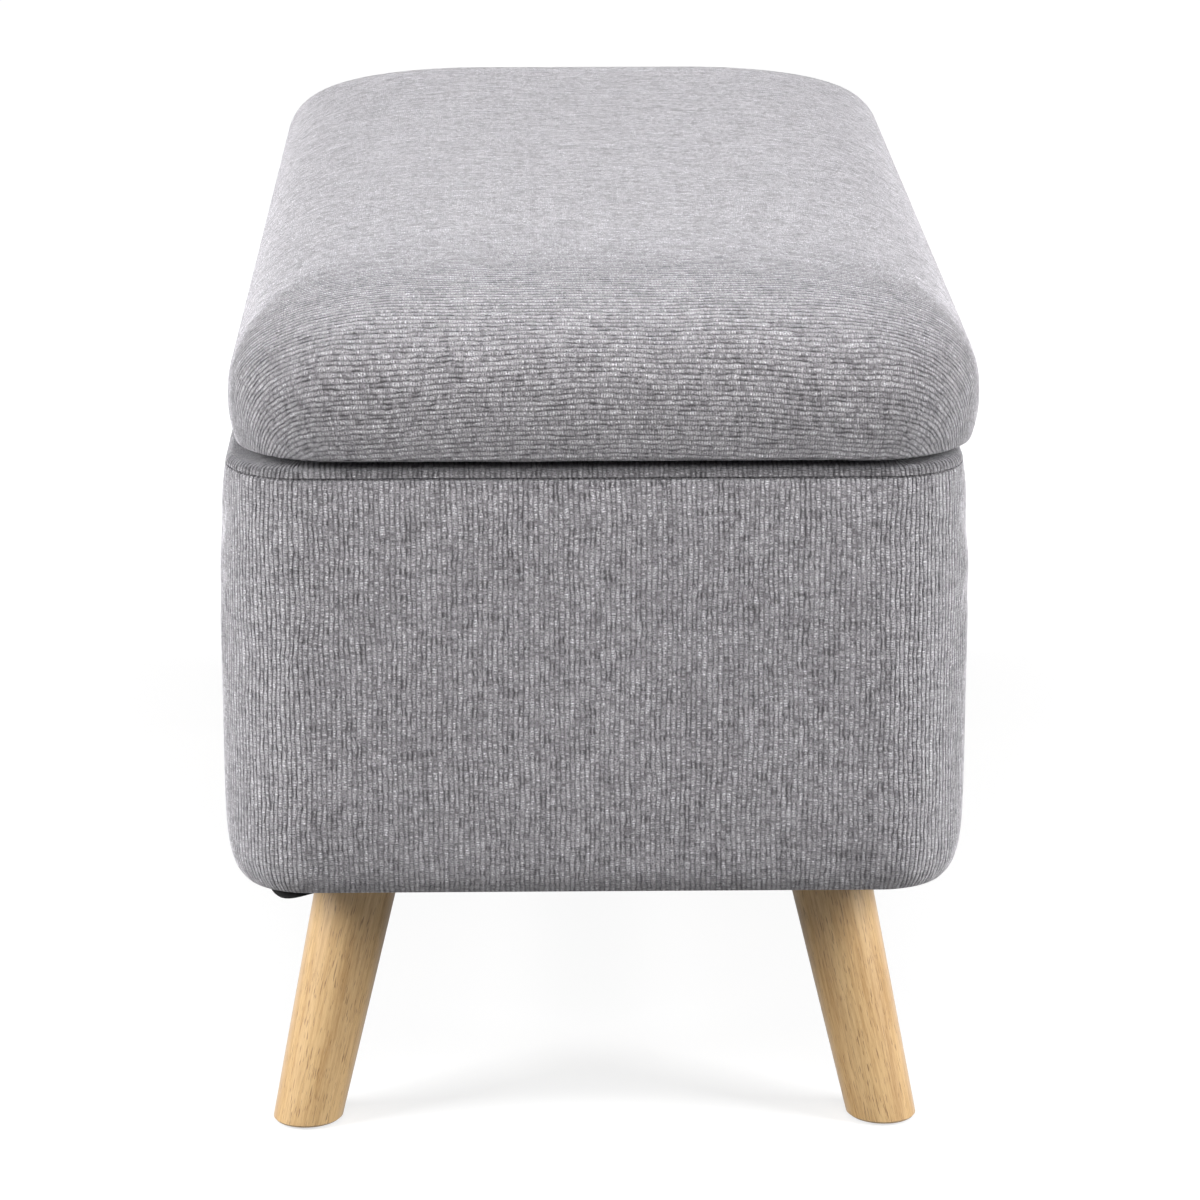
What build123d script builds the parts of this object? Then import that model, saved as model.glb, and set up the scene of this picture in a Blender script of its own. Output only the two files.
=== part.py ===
"""Upholstered storage bench: a padded lid on a padded box with splayed wooden legs.

X runs along the bench, the front is -Y, the hinges are at the back (+Y) and Z is up.
The origin is under the middle of the bench, on the floor. All sizes are millimetres.
"""

from build123d import *
import math
import os

# ---------------------------------------------------------------- driving sizes
# Overall. The lid is as deep as the box and a little longer.
box_length = 800.0
box_depth = 400.0
box_corner_radius = 46.0
lid_end_overhang = 4.0
lid_length = box_length + 2 * lid_end_overhang
lid_depth = box_depth
lid_corner_radius = 52.0
lid_forward = 5.0            # the lid sits this far forward of the box, as a finger lip

# Heights, stacked from the floor
box_bottom = 144.0
box_height = 237.5           # bottom of the box to its rim
bottom_rise = 36.0           # of the rounded lower edge
draw_in_height = 87.0        # of the part of the side that draws in below the seam
seam_drop = 5.7              # rim to seam
lid_gap = 4.0                # rim to lid, which the hinges and the bumpers set
lid_roll = 28.5              # underside of the lid to its widest line
lid_crown = 66.0             # widest line to the top of the lid

side_straight_bottom = box_bottom + bottom_rise
rim_top = box_bottom + box_height
seam_height = rim_top - seam_drop
side_straight_top = seam_height - draw_in_height
lid_bottom = rim_top + lid_gap
lid_widest = lid_bottom + lid_roll
lid_top = lid_widest + lid_crown

# How far the upholstered outlines draw in
bottom_tuck = 14.0
rim_tuck = 3.0
lid_tuck = 5.0
crown_flatness = 4.6
edge_fullness = 2.4
crown_roundness = 0.95       # of the smallest outline round the crown; 1 has round ends

# Sheet and board thicknesses
fabric = 1.5
lining = 0.8
ply = 12.0
lid_ply = 12.0
rim_band_drop = 34.0         # how far the rim band reaches down inside
rim_round = 4.5              # over each edge of the rim
cover_return = 22.0          # how far the covers turn under
wall_inset = 16.0            # outer fabric face to the outer face of the plywood
lid_board_inset = 12.0
lid_return = 56.0            # how far the lid's cover turns under

# Clearances
skin_gap = 0.2               # between layers that are stapled or glued together
running_gap = 0.3            # between moving plates
pin_gap = 0.05               # radial, for a pin that turns
screw_gap = 0.05             # radial, for a screw in its hole
open_pivot_gap = 0.3         # radial, at the elbow of the lid stay

# Legs
foot_inset_x = 46.0          # end of the box to the middle of a foot
foot_inset_y = 40.5
foot_spread_x = box_length - 2 * foot_inset_x
foot_spread_y = box_depth - 2 * foot_inset_y
leg_lean = 12.4              # degrees out from upright, both along X and along Y
foot_radius = 18.7
leg_top_radius = 22.6
glide_radius = 12.0
glide_height = 1.5
leg_plate_size = 70.0
leg_plate_thickness = 2.5
dust_cover_thickness = 0.6
dust_cover_inset = 8.0       # edge of the dust cover, in from the box's bottom edge

# Hinges
hinge_inset = 220.0          # end of the box to the middle of a hinge
hinge_spacing = box_length - 2 * hinge_inset
hinge_length = 64.0
hinge_knuckles = 5
knuckle_radius = 3.2
hinge_pin_radius = 1.5
leaf_thickness = 1.2
leaf_reach = 30.0            # knuckle axis to the inner edge of a leaf
hinge_back_inset = 3.0       # knuckle axis to the back of the box
hinge_screw_row = 20.5       # knuckle axis to the screws

# Lid stays: an arm on the box wall and a link to the lid, which stay parallel
stay_pivot_back = 88.5       # arm pivot, forward of the hinge axis
stay_pivot_drop = 70.0       # arm pivot, below the hinge axis
stay_arm_reach = 130.0       # lid pivot, forward of the hinge axis
stay_lid_drop = 11.0         # lid pivot, below the hinge axis
stay_plate = 1.5
stay_bar = 1.8
stay_half_width = 8.0
rivet_radius = 2.5
rivet_head_radius = 4.2
rivet_head = 1.2
lid_opening = 95.0           # degrees
stay_stop_reach = 21.0       # arm pivot to its stop
stay_stop_length = 10.0
stay_stop_thickness = 2.0
bracket_flange = 16.0
bracket_length = 46.0

# Screws and bolts
small_screw_radius = 1.7
screw_tip = 2.0
base_screw_radius = 2.0
base_screw_length = 42.0
base_screw_tip = 4.0
hinge_screw_length = 11.0
stay_screw_length = 9.0
plate_screw_length = 13.0
plate_screw_margin = 9.0     # edge of a leg plate to its screws
bolt_radius = 4.0
bolt_above = 10.0            # of the hanger bolt, above the underside of its plate
bolt_below = 34.0            # of the hanger bolt, inside the leg
collar_radius = 5.5
collar_height = 9.0

# Bumpers
bumper_radius = 6.0

# Eased edges
leg_plate_corner = 8.0
leg_chamfer = 1.2
bolt_chamfer = 0.8
pin_chamfer = 0.4
leaf_corner = 3.0
bracket_corner = 4.0
bumper_round = 1.2

# ---------------------------------------------------------------- worked-out places
# The lid overhangs the front by more than the box stands out behind, and the
# origin lies half-way between the two faces.
half_overhang = (lid_depth / 2 + lid_forward - box_depth / 2) / 2
box_centre_y = half_overhang
lid_centre_y = half_overhang - lid_forward
box_half_x = box_length / 2
box_half_y = box_depth / 2

layer = fabric + skin_gap
base_bottom = box_bottom + layer
base_top = base_bottom + ply
wall_top = rim_top - layer
inner_inset = wall_inset + ply
lid_board_bottom = lid_bottom + layer
lid_board_top = lid_board_bottom + lid_ply
dust_top = box_bottom - skin_gap / 2
dust_bottom = dust_top - dust_cover_thickness
plate_top = dust_bottom - skin_gap / 2
leg_top = plate_top - leg_plate_thickness - skin_gap / 2

hinge_y = box_centre_y + box_half_y - hinge_back_inset
hinge_z = rim_top + lid_gap / 2

hinge_screw_step = 0.35 * hinge_length
hinge_spots = [
    (side * hinge_spacing / 2 + step, hinge_y - hinge_screw_row)
    for side in (-1, 1)
    for step in (-hinge_screw_step, 0, hinge_screw_step)
]
hinge_screw_top = rim_top + leaf_thickness

floor_lining_bottom = base_top + skin_gap
floor_lining_top = floor_lining_bottom + lining
rim_band_bottom = rim_top - rim_band_drop
wall_lining_top = rim_band_bottom - skin_gap

os.makedirs("parts", exist_ok=True)


def sink(thickness):
    """Countersunk screw hole right through a plate of this thickness."""
    CounterSinkHole(
        small_screw_radius + screw_gap,
        2 * small_screw_radius + screw_gap,
        depth=thickness,
        counter_sink_angle=2 * math.degrees(math.atan(small_screw_radius / thickness)),
    )


def keep(builder, name):
    """Label a finished piece and write it as its own STEP file."""
    builder.part.label = name
    export_step(builder.part, f"parts/{name}.step")


# ---------------------------------------------------------------- shared outlines
def box_plan(inset):
    """Plan outline of the box, drawn in by inset."""
    with Locations((0, box_centre_y)):
        RectangleRounded(
            box_length - 2 * inset, box_depth - 2 * inset, box_corner_radius - inset
        )


def box_path():
    """Plan outline of the box as the path that its sections are swept round."""
    with BuildSketch() as outline:
        box_plan(0)
    return outline.sketch.face().outer_wire()


def section_plane(path):
    """Plane across the start of the path: its X points inward and its Y up."""
    tangent = path % 0
    return Plane(origin=path @ 0, x_dir=Vector(0, 0, 1).cross(tangent), z_dir=tangent)


def side_line(skin):
    """Side of the box from its bottom edge up to the seam, sunk in by skin."""
    EllipticalCenterArc(
        (bottom_tuck, side_straight_bottom),
        bottom_tuck - skin,
        bottom_rise - skin,
        start_angle=180,
        arc_size=90,
    )
    Line((skin, side_straight_bottom), (skin, side_straight_top))
    TangentArc((skin, side_straight_top), (skin + rim_tuck, seam_height), tangent=(0, 1))


path = box_path()
across = section_plane(path)

# ---------------------------------------------------------------- box: fabric and foam
with BuildPart() as box_cover:
    with BuildSketch(across):
        with BuildLine():
            side_line(0)
            side_line(fabric)
            Line((rim_tuck, seam_height), (rim_tuck + fabric, seam_height))
            Polyline(
                (bottom_tuck, box_bottom),
                (bottom_tuck + cover_return, box_bottom),
                (bottom_tuck + cover_return, box_bottom + fabric),
                (bottom_tuck, box_bottom + fabric),
            )
        make_face()
    sweep(path=path)
keep(box_cover, "box_cover")

foam_inner = wall_inset - skin_gap
with BuildPart() as box_foam:
    with BuildSketch(across):
        with BuildLine():
            side_line(layer)
            FilletPolyline(
                (rim_tuck + layer, seam_height),
                (rim_tuck + layer + skin_gap, wall_top),
                (foam_inner, wall_top),
                radius=rim_round - layer,
            )
            Polyline(
                (foam_inner, wall_top),
                (foam_inner, base_bottom),
                (bottom_tuck, base_bottom),
            )
        make_face()
    sweep(path=path)
keep(box_foam, "box_foam")

# The rim band runs from the seam over the rim and down inside. The hinge screws
# pierce it.
band_outer = rim_tuck
band_inner = inner_inset + layer
with BuildPart() as rim_band:
    with BuildSketch(across):
        with BuildLine():
            FilletPolyline(
                (band_outer, seam_height + skin_gap),
                (band_outer + skin_gap, rim_top),
                (band_inner, rim_top),
                (band_inner, rim_band_bottom),
                radius=rim_round,
            )
            FilletPolyline(
                (band_outer + fabric, seam_height + skin_gap),
                (band_outer + skin_gap + fabric, rim_top - fabric),
                (band_inner - fabric, rim_top - fabric),
                (band_inner - fabric, rim_band_bottom),
                radius=rim_round - fabric,
            )
            Line(
                (band_outer, seam_height + skin_gap),
                (band_outer + fabric, seam_height + skin_gap),
            )
            Line((band_inner, rim_band_bottom), (band_inner - fabric, rim_band_bottom))
        make_face()
    sweep(path=path)
    with BuildSketch(Plane.XY.offset(rim_top)):
        with Locations(*hinge_spots):
            Circle(small_screw_radius + screw_gap)
    extrude(amount=-2 * fabric, mode=Mode.SUBTRACT)
keep(rim_band, "rim_band")

# ---------------------------------------------------------------- box: plywood
straight_x = box_length - 2 * box_corner_radius
straight_y = box_depth - 2 * box_corner_radius
wall_height = wall_top - base_top
wall_middle = inner_inset - ply / 2     # outer fabric face to the middle of a wall
wall_round = rim_round - fabric         # eased top edges, so that they don't cut the fabric

base_screw_step_x = 0.4 * straight_x
base_screw_step_y = 0.3 * straight_y
base_screw_spots = [
    (x, box_centre_y + side * (box_half_y - wall_middle))
    for side in (-1, 1)
    for x in (-base_screw_step_x, 0, base_screw_step_x)
] + [
    (side * (box_half_x - wall_middle), box_centre_y + y)
    for side in (-1, 1)
    for y in (-base_screw_step_y, base_screw_step_y)
]
with BuildPart() as front_panel:
    with BuildSketch(Plane.XY.offset(base_top)):
        with Locations((0, box_centre_y - box_half_y + wall_middle)):
            Rectangle(straight_x, ply)
    extrude(amount=wall_height)
    fillet(front_panel.edges().filter_by(Axis.X).group_by(Axis.Z)[-1], radius=wall_round)
    with BuildSketch(Plane.XY.offset(base_top)):
        with Locations(*base_screw_spots):
            Circle(base_screw_radius + screw_gap)
    extrude(amount=base_screw_length - ply, mode=Mode.SUBTRACT)
keep(front_panel, "front_panel")

with BuildPart() as back_panel:
    with BuildSketch(Plane.XY.offset(base_top)):
        with Locations((0, box_centre_y + box_half_y - wall_middle)):
            Rectangle(straight_x, ply)
    extrude(amount=wall_height)
    fillet(back_panel.edges().filter_by(Axis.X).group_by(Axis.Z)[-1], radius=wall_round)
    with BuildSketch(Plane.XY.offset(base_top)):
        with Locations(*base_screw_spots):
            Circle(base_screw_radius + screw_gap)
    extrude(amount=base_screw_length - ply, mode=Mode.SUBTRACT)
    with BuildSketch(Plane.XY.offset(wall_top)):
        with Locations(*hinge_spots):
            Circle(small_screw_radius + screw_gap)
    extrude(amount=-hinge_screw_length, mode=Mode.SUBTRACT)
keep(back_panel, "back_panel")

# ---------------------------------------------------------------- lid stay places
stay_pivot = (hinge_y - stay_pivot_back, hinge_z - stay_pivot_drop)
lid_pivot = (hinge_y - stay_arm_reach, hinge_z - stay_lid_drop)
elbow = (
    stay_pivot[0] + lid_pivot[0] - hinge_y,
    stay_pivot[1] + lid_pivot[1] - hinge_z,
)
# Layers inward from the end wall: wall plate, arm, link, lid bracket.
plate_face = box_half_x - inner_inset - layer - skin_gap
plate_outer = plate_face - skin_gap / 2
plate_inner = plate_outer - stay_plate
arm_outer = plate_inner - running_gap
arm_inner = arm_outer - stay_bar
link_outer = arm_inner - running_gap
link_inner = link_outer - stay_bar
tab_outer = link_inner - running_gap
tab_inner = tab_outer - stay_plate

stay_screw_reach = 2.5 * stay_half_width
stay_screw_spots = [
    (stay_pivot[0] - stay_screw_reach, stay_pivot[1]),
    (stay_pivot[0], stay_pivot[1] - stay_screw_reach),
]
bracket_screw_step = 0.3 * bracket_length
lid_stay_spots = [
    (side * (tab_inner - bracket_flange / 2), lid_pivot[0] + step)
    for side in (-1, 1)
    for step in (-bracket_screw_step, bracket_screw_step)
]

for side, name in ((-1, "left_panel"), (1, "right_panel")):
    with BuildPart() as end_panel:
        with BuildSketch(Plane.XY.offset(base_top)):
            with Locations((side * (box_half_x - wall_middle), box_centre_y)):
                Rectangle(ply, straight_y)
        extrude(amount=wall_height)
        fillet(end_panel.edges().filter_by(Axis.Y).group_by(Axis.Z)[-1], radius=wall_round)
        with BuildSketch(Plane.XY.offset(base_top)):
            with Locations(*base_screw_spots):
                Circle(base_screw_radius + screw_gap)
        extrude(amount=base_screw_length - ply, mode=Mode.SUBTRACT)
        with BuildSketch(Plane.YZ.offset(side * (box_half_x - inner_inset))):
            with Locations(*stay_screw_spots):
                Circle(small_screw_radius + screw_gap)
        extrude(amount=side * stay_screw_length, mode=Mode.SUBTRACT)
    keep(end_panel, name)

corner_x = straight_x / 2
corner_y = straight_y / 2
corners = (
    ("front_left", -1, -1),
    ("front_right", 1, -1),
    ("back_left", -1, 1),
    ("back_right", 1, 1),
)
for name, side_x, side_y in corners:
    middle = (side_x * corner_x, box_centre_y + side_y * corner_y)
    with BuildPart() as corner_panel:
        with BuildSketch(Plane.XY.offset(base_top)):
            with Locations(middle):
                Circle(box_corner_radius - wall_inset)
                Circle(box_corner_radius - inner_inset, mode=Mode.SUBTRACT)
            with Locations(
                (
                    middle[0] + side_x * box_corner_radius / 2,
                    middle[1] + side_y * box_corner_radius / 2,
                )
            ):
                Rectangle(box_corner_radius, box_corner_radius, mode=Mode.INTERSECT)
        extrude(amount=wall_height)
        bent_edges = corner_panel.edges().filter_by(GeomType.CIRCLE).group_by(Axis.Z)[-1]
        fillet(bent_edges, radius=wall_round)
    keep(corner_panel, f"corner_{name}")

# Glue blocks fill the inside of each bent corner up to the rim band. Their outer
# face follows the bend and their inner face is sawn straight across.
block_radius = box_corner_radius - inner_inset - skin_gap
with BuildPart() as corner_blocks:
    for name, side_x, side_y in corners:
        middle = (side_x * corner_x, box_centre_y + side_y * corner_y)
        with BuildSketch(Plane.XY.offset(base_top)):
            with BuildLine():
                across_end = (middle[0] + side_x * block_radius, middle[1])
                along_end = (middle[0], middle[1] + side_y * block_radius)
                outer_middle = (
                    middle[0] + side_x * block_radius * math.sqrt(0.5),
                    middle[1] + side_y * block_radius * math.sqrt(0.5),
                )
                ThreePointArc(across_end, outer_middle, along_end)
                Line(along_end, across_end)
            make_face()
        extrude(amount=wall_lining_top - base_top)
keep(corner_blocks, "corner_blocks")

# ---------------------------------------------------------------- base
lean = math.tan(math.radians(leg_lean))
leg_shift = (leg_top + leg_plate_thickness) * lean
leg_tops = [
    (
        side_x * (foot_spread_x / 2 - leg_shift),
        box_centre_y + side_y * (foot_spread_y / 2 - leg_shift),
    )
    for name, side_x, side_y in corners
]
plate_screw_pitch = leg_plate_size - 2 * plate_screw_margin
plate_screw_spots = [
    (x + dx * plate_screw_pitch / 2, y + dy * plate_screw_pitch / 2)
    for x, y in leg_tops
    for dx in (-1, 1)
    for dy in (-1, 1)
]

with BuildPart() as base_board:
    with BuildSketch(Plane.XY.offset(base_bottom)):
        box_plan(wall_inset)
    extrude(amount=ply)
    with BuildSketch(Plane.XY.offset(base_bottom)):
        with Locations(*base_screw_spots):
            Circle(base_screw_radius + screw_gap)
    extrude(amount=ply, mode=Mode.SUBTRACT)
    with BuildSketch(Plane.XY.offset(base_bottom)):
        with Locations(*leg_tops):
            Circle(collar_radius + running_gap)
    extrude(amount=ply, mode=Mode.SUBTRACT)
    with BuildSketch(Plane.XY.offset(base_bottom)):
        with Locations(*plate_screw_spots):
            Circle(small_screw_radius + screw_gap)
    extrude(amount=plate_screw_length - leg_plate_thickness, mode=Mode.SUBTRACT)
keep(base_board, "base_board")


def lining_plan(inset, mode=Mode.ADD):
    """Eight-sided plan of the wall lining, its corners cut along the glue blocks."""
    half_x = box_half_x - inset
    half_y = box_half_y - inset
    depth = inset - inner_inset
    cut = box_corner_radius - inner_inset - depth * (2 - math.sqrt(2))
    Polygon(
        (half_x - cut, box_centre_y - half_y),
        (half_x, box_centre_y - half_y + cut),
        (half_x, box_centre_y + half_y - cut),
        (half_x - cut, box_centre_y + half_y),
        (cut - half_x, box_centre_y + half_y),
        (-half_x, box_centre_y + half_y - cut),
        (-half_x, box_centre_y - half_y + cut),
        (cut - half_x, box_centre_y - half_y),
        align=None,
        mode=mode,
    )


with BuildPart() as floor_lining:
    with BuildSketch(Plane.XY.offset(floor_lining_bottom)):
        box_plan(inner_inset + skin_gap)
        lining_plan(inner_inset + skin_gap, mode=Mode.INTERSECT)
    extrude(amount=lining)
keep(floor_lining, "floor_lining")

with BuildPart() as wall_lining:
    with BuildSketch(Plane.XY.offset(floor_lining_top + skin_gap)):
        lining_plan(inner_inset + skin_gap)
    extrude(amount=wall_lining_top - floor_lining_top - skin_gap)
    with BuildSketch(Plane.XY.offset(floor_lining_top + skin_gap)):
        lining_plan(inner_inset + skin_gap + lining)
    extrude(amount=wall_lining_top - floor_lining_top - skin_gap, mode=Mode.SUBTRACT)
    for side in (-1, 1):
        with BuildSketch(Plane.YZ.offset(side * (box_half_x - inner_inset))):
            with Locations(*stay_screw_spots):
                Circle(small_screw_radius + screw_gap)
        extrude(amount=-side * 3 * lining, mode=Mode.SUBTRACT)
keep(wall_lining, "wall_lining")

with BuildPart() as dust_cover:
    with BuildSketch(Plane.XY.offset(dust_bottom)):
        box_plan(bottom_tuck + dust_cover_inset)
        with Locations(*plate_screw_spots):
            Circle(small_screw_radius + screw_gap, mode=Mode.SUBTRACT)
        with Locations(*leg_tops):
            Circle(collar_radius + running_gap, mode=Mode.SUBTRACT)
    extrude(amount=dust_cover_thickness)
keep(dust_cover, "dust_cover")

# ---------------------------------------------------------------- legs
# Each leg is turned longer than it needs to be, then cut level at both ends.
leg_spare = foot_radius
for (name, side_x, side_y), top in zip(corners, leg_tops):
    foot = Vector(side_x * foot_spread_x / 2, box_centre_y + side_y * foot_spread_y / 2, 0)
    direction = Vector(-side_x * lean, -side_y * lean, 1).normalized()
    taper = (leg_top_radius - foot_radius) / leg_top * direction.Z
    length = leg_top / direction.Z + 2 * leg_spare
    with BuildPart() as leg:
        with BuildSketch(Plane(origin=foot - direction * leg_spare, z_dir=direction)):
            Circle(foot_radius - taper * leg_spare)
        with BuildSketch(Plane(origin=foot + direction * (length - leg_spare), z_dir=direction)):
            Circle(foot_radius + taper * (length - leg_spare))
        loft()
        split(bisect_by=Plane.XY.offset(glide_height), keep=Keep.TOP)
        split(bisect_by=Plane.XY.offset(leg_top), keep=Keep.BOTTOM)
        chamfer(leg.edges().group_by(Axis.Z)[0], length=leg_chamfer)
        with BuildSketch(Plane.XY.offset(leg_top)):
            with Locations(top):
                Circle(bolt_radius + screw_gap)
        extrude(amount=-bolt_below, mode=Mode.SUBTRACT)
    keep(leg, f"leg_{name}")

with BuildPart() as leg_glides:
    for name, side_x, side_y in corners:
        with BuildSketch():
            with Locations(
                (
                    side_x * (foot_spread_x / 2 - glide_height * lean),
                    box_centre_y + side_y * (foot_spread_y / 2 - glide_height * lean),
                )
            ):
                Circle(glide_radius)
        extrude(amount=glide_height - skin_gap / 2)
keep(leg_glides, "leg_glides")

plate_bottom = plate_top - leg_plate_thickness
with BuildPart() as leg_plates:
    for top in leg_tops:
        with BuildSketch(Plane.XY.offset(plate_bottom)):
            with Locations(top):
                RectangleRounded(leg_plate_size, leg_plate_size, leg_plate_corner)
        extrude(amount=leg_plate_thickness)
        with BuildSketch(Plane.XY.offset(plate_top)):
            with Locations(top):
                Circle(collar_radius)
        extrude(amount=collar_height - leg_plate_thickness)
    with BuildSketch(Plane.XY.offset(plate_bottom)):
        with Locations(*leg_tops):
            Circle(bolt_radius + screw_gap)
    extrude(amount=collar_height, mode=Mode.SUBTRACT)
    with Locations(Plane((0, 0, plate_bottom), x_dir=(1, 0, 0), z_dir=(0, 0, -1))):
        with Locations(*[(x, -y) for x, y in plate_screw_spots]):
            sink(leg_plate_thickness)
keep(leg_plates, "leg_plates")

with BuildPart() as hanger_bolts:
    with BuildSketch(Plane.XY.offset(leg_top - bolt_below + running_gap)):
        with Locations(*leg_tops):
            Circle(bolt_radius)
    extrude(amount=bolt_below + bolt_above - running_gap)
    chamfer(hanger_bolts.edges().filter_by(GeomType.CIRCLE), length=bolt_chamfer)
keep(hanger_bolts, "hanger_bolts")


# ---------------------------------------------------------------- screws
def screw_profile(radius, length, head):
    """Half section of a countersunk screw, its flat head at the origin, pointing up."""
    Polygon(
        (0, 0),
        (2 * radius, 0),
        (radius, head),
        (radius, length - screw_tip),
        (0, length),
        align=None,
    )


with BuildPart() as plate_screw:
    with BuildSketch(Plane.XZ):
        screw_profile(small_screw_radius, plate_screw_length, leg_plate_thickness)
    revolve(axis=Axis.Z)
with BuildPart() as plate_screws:
    with Locations(*[(x, y, plate_bottom) for x, y in plate_screw_spots]):
        add(plate_screw.part)
keep(plate_screws, "plate_screws")

with BuildPart() as base_screw:
    with BuildSketch(Plane.XZ):
        Polygon(
            (0, 0),
            (base_screw_radius, 0),
            (base_screw_radius, base_screw_length - base_screw_tip),
            (0, base_screw_length - running_gap),
            align=None,
        )
    revolve(axis=Axis.Z)
with BuildPart() as base_screws:
    with Locations(*[(x, y, base_bottom) for x, y in base_screw_spots]):
        add(base_screw.part)
keep(base_screws, "base_screws")

with BuildPart() as hinge_screw:
    with BuildSketch(Plane.XZ):
        screw_profile(small_screw_radius, hinge_screw_length, leaf_thickness)
    revolve(axis=Axis.Z)
upright_screw = hinge_screw.part
upturned_screw = hinge_screw.part.rotate(Axis.X, 180)
with BuildPart() as hinge_box_screws:
    with Locations(*[(x, y, hinge_screw_top) for x, y in hinge_spots]):
        add(upturned_screw)
keep(hinge_box_screws, "hinge_box_screws")
with BuildPart() as hinge_lid_screws:
    with Locations(*[(x, y, lid_bottom - leaf_thickness) for x, y in hinge_spots]):
        add(upright_screw)
keep(hinge_lid_screws, "hinge_lid_screws")

# ---------------------------------------------------------------- hinges
pitch = hinge_length / hinge_knuckles
for side, name in ((-1, "left"), (1, "right")):
    start = side * hinge_spacing / 2 - hinge_length / 2
    for part_name, first, low, high, head_up in (
        ("box", 0, rim_top, rim_top + leaf_thickness, True),
        ("lid", 1, lid_bottom - leaf_thickness, lid_bottom, False),
    ):
        with BuildPart() as leaf:
            with BuildSketch(Plane.XY.offset(low)):
                with Locations((side * hinge_spacing / 2, hinge_y - leaf_reach / 2)):
                    Rectangle(hinge_length, leaf_reach)
                with Locations((side * hinge_spacing / 2 - hinge_length / 2, hinge_y)):
                    Rectangle(
                        hinge_length,
                        2 * knuckle_radius + 2 * running_gap,
                        align=(Align.MIN, Align.CENTER),
                        mode=Mode.SUBTRACT,
                    )
            extrude(amount=leaf_thickness)
            fillet(leaf.edges().filter_by(Axis.Z).group_by(Axis.Y)[0], radius=leaf_corner)
            for index in range(first, hinge_knuckles, 2):
                with BuildSketch(Plane.YZ.offset(start + index * pitch + running_gap / 2)):
                    with Locations((hinge_y, hinge_z)):
                        Circle(knuckle_radius)
                    with Locations((hinge_y - knuckle_radius, (low + high) / 2)):
                        Rectangle(2 * knuckle_radius, leaf_thickness)
                    with Locations((hinge_y, hinge_z)):
                        Circle(hinge_pin_radius + pin_gap, mode=Mode.SUBTRACT)
                extrude(amount=pitch - running_gap)
            face_z = high if head_up else low
            normal = (0, 0, 1) if head_up else (0, 0, -1)
            flip = 1 if head_up else -1
            spots = [spot for spot in hinge_spots if spot[0] * side > 0]
            with Locations(Plane((0, 0, face_z), x_dir=(1, 0, 0), z_dir=normal)):
                with Locations(*[(x, flip * y) for x, y in spots]):
                    sink(leaf_thickness)
        keep(leaf, f"hinge_{name}_{part_name}_leaf")

    with BuildPart() as pin:
        with BuildSketch(Plane.YZ.offset(start + running_gap)):
            with Locations((hinge_y, hinge_z)):
                Circle(hinge_pin_radius)
        extrude(amount=hinge_length - 2 * running_gap)
        chamfer(pin.edges().filter_by(GeomType.CIRCLE), length=pin_chamfer)
    keep(pin, f"hinge_{name}_pin")

# ---------------------------------------------------------------- lid
lid_half = lid_depth / 2


def lid_section(depth):
    """Inset of the lid's upper outline, and its share of the rise from the widest
    line to the crown, at depth: 0 at the side and 1 in the middle. It is a
    superellipse, with a flat crown that rolls over at the side."""
    reach = depth * depth
    return lid_half * reach, (1 - (1 - reach) ** crown_flatness) ** (1 / edge_fullness)


def lid_plan(inset):
    """Plan of the lid drawn in by inset. The corners get rounder towards the middle."""
    half = lid_half - inset
    roundness = lid_corner_radius / lid_half
    roundness += (crown_roundness - roundness) * inset / lid_half
    with Locations((0, lid_centre_y)):
        RectangleRounded(lid_length - 2 * inset, 2 * half, roundness * half)


def lid_sections(skin):
    """Level sections of the lid's padded outline, sunk in by skin, bottom to top."""
    levels = []
    for depth in (1.0, 0.5):
        levels.append((lid_tuck * depth * depth + skin, lid_widest - (lid_roll - skin) * depth))
    for depth in (0.0, 0.1, 0.2, 0.3, 0.4, 0.52, 0.66, 0.82, 0.97):
        inset, rise = lid_section(depth)
        inset += skin * (1 - inset / lid_half)
        levels.append((inset, lid_widest + (lid_crown - skin) * rise))
    sections = []
    for inset, height in levels:
        with BuildSketch(Plane.XY.offset(height)) as level:
            lid_plan(inset)
        sections.append(level.sketch.face())
    return sections


with BuildPart() as lid_cover:
    loft(sections=lid_sections(0))
    loft(sections=lid_sections(fabric), mode=Mode.SUBTRACT)
    with BuildSketch(Plane.XY.offset(lid_bottom - fabric)):
        lid_plan(lid_return)
    extrude(amount=3 * fabric, mode=Mode.SUBTRACT)
    with BuildSketch(Plane.XY.offset(lid_bottom)):
        with Locations(*hinge_spots, *lid_stay_spots):
            Circle(small_screw_radius + screw_gap)
    extrude(amount=2 * fabric, mode=Mode.SUBTRACT)
keep(lid_cover, "lid_cover")

with BuildPart() as lid_foam:
    loft(sections=lid_sections(layer))
    with BuildSketch(Plane.XY.offset(lid_bottom)):
        lid_plan(lid_board_inset - skin_gap)
    extrude(amount=lid_board_top + skin_gap - lid_bottom, mode=Mode.SUBTRACT)
keep(lid_foam, "lid_foam")

with BuildPart() as lid_board:
    with BuildSketch(Plane.XY.offset(lid_board_bottom)):
        lid_plan(lid_board_inset)
    extrude(amount=lid_ply)
    with BuildSketch(Plane.XY.offset(lid_board_bottom)):
        with Locations(*hinge_spots, *lid_stay_spots):
            Circle(small_screw_radius + screw_gap)
    extrude(amount=hinge_screw_length - fabric, mode=Mode.SUBTRACT)
keep(lid_board, "lid_board")

with BuildPart() as lid_lining:
    with BuildSketch(Plane.XY.offset(lid_board_bottom - skin_gap - lining)):
        lid_plan(lid_return + skin_gap)
    extrude(amount=lining)
keep(lid_lining, "lid_lining")

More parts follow.
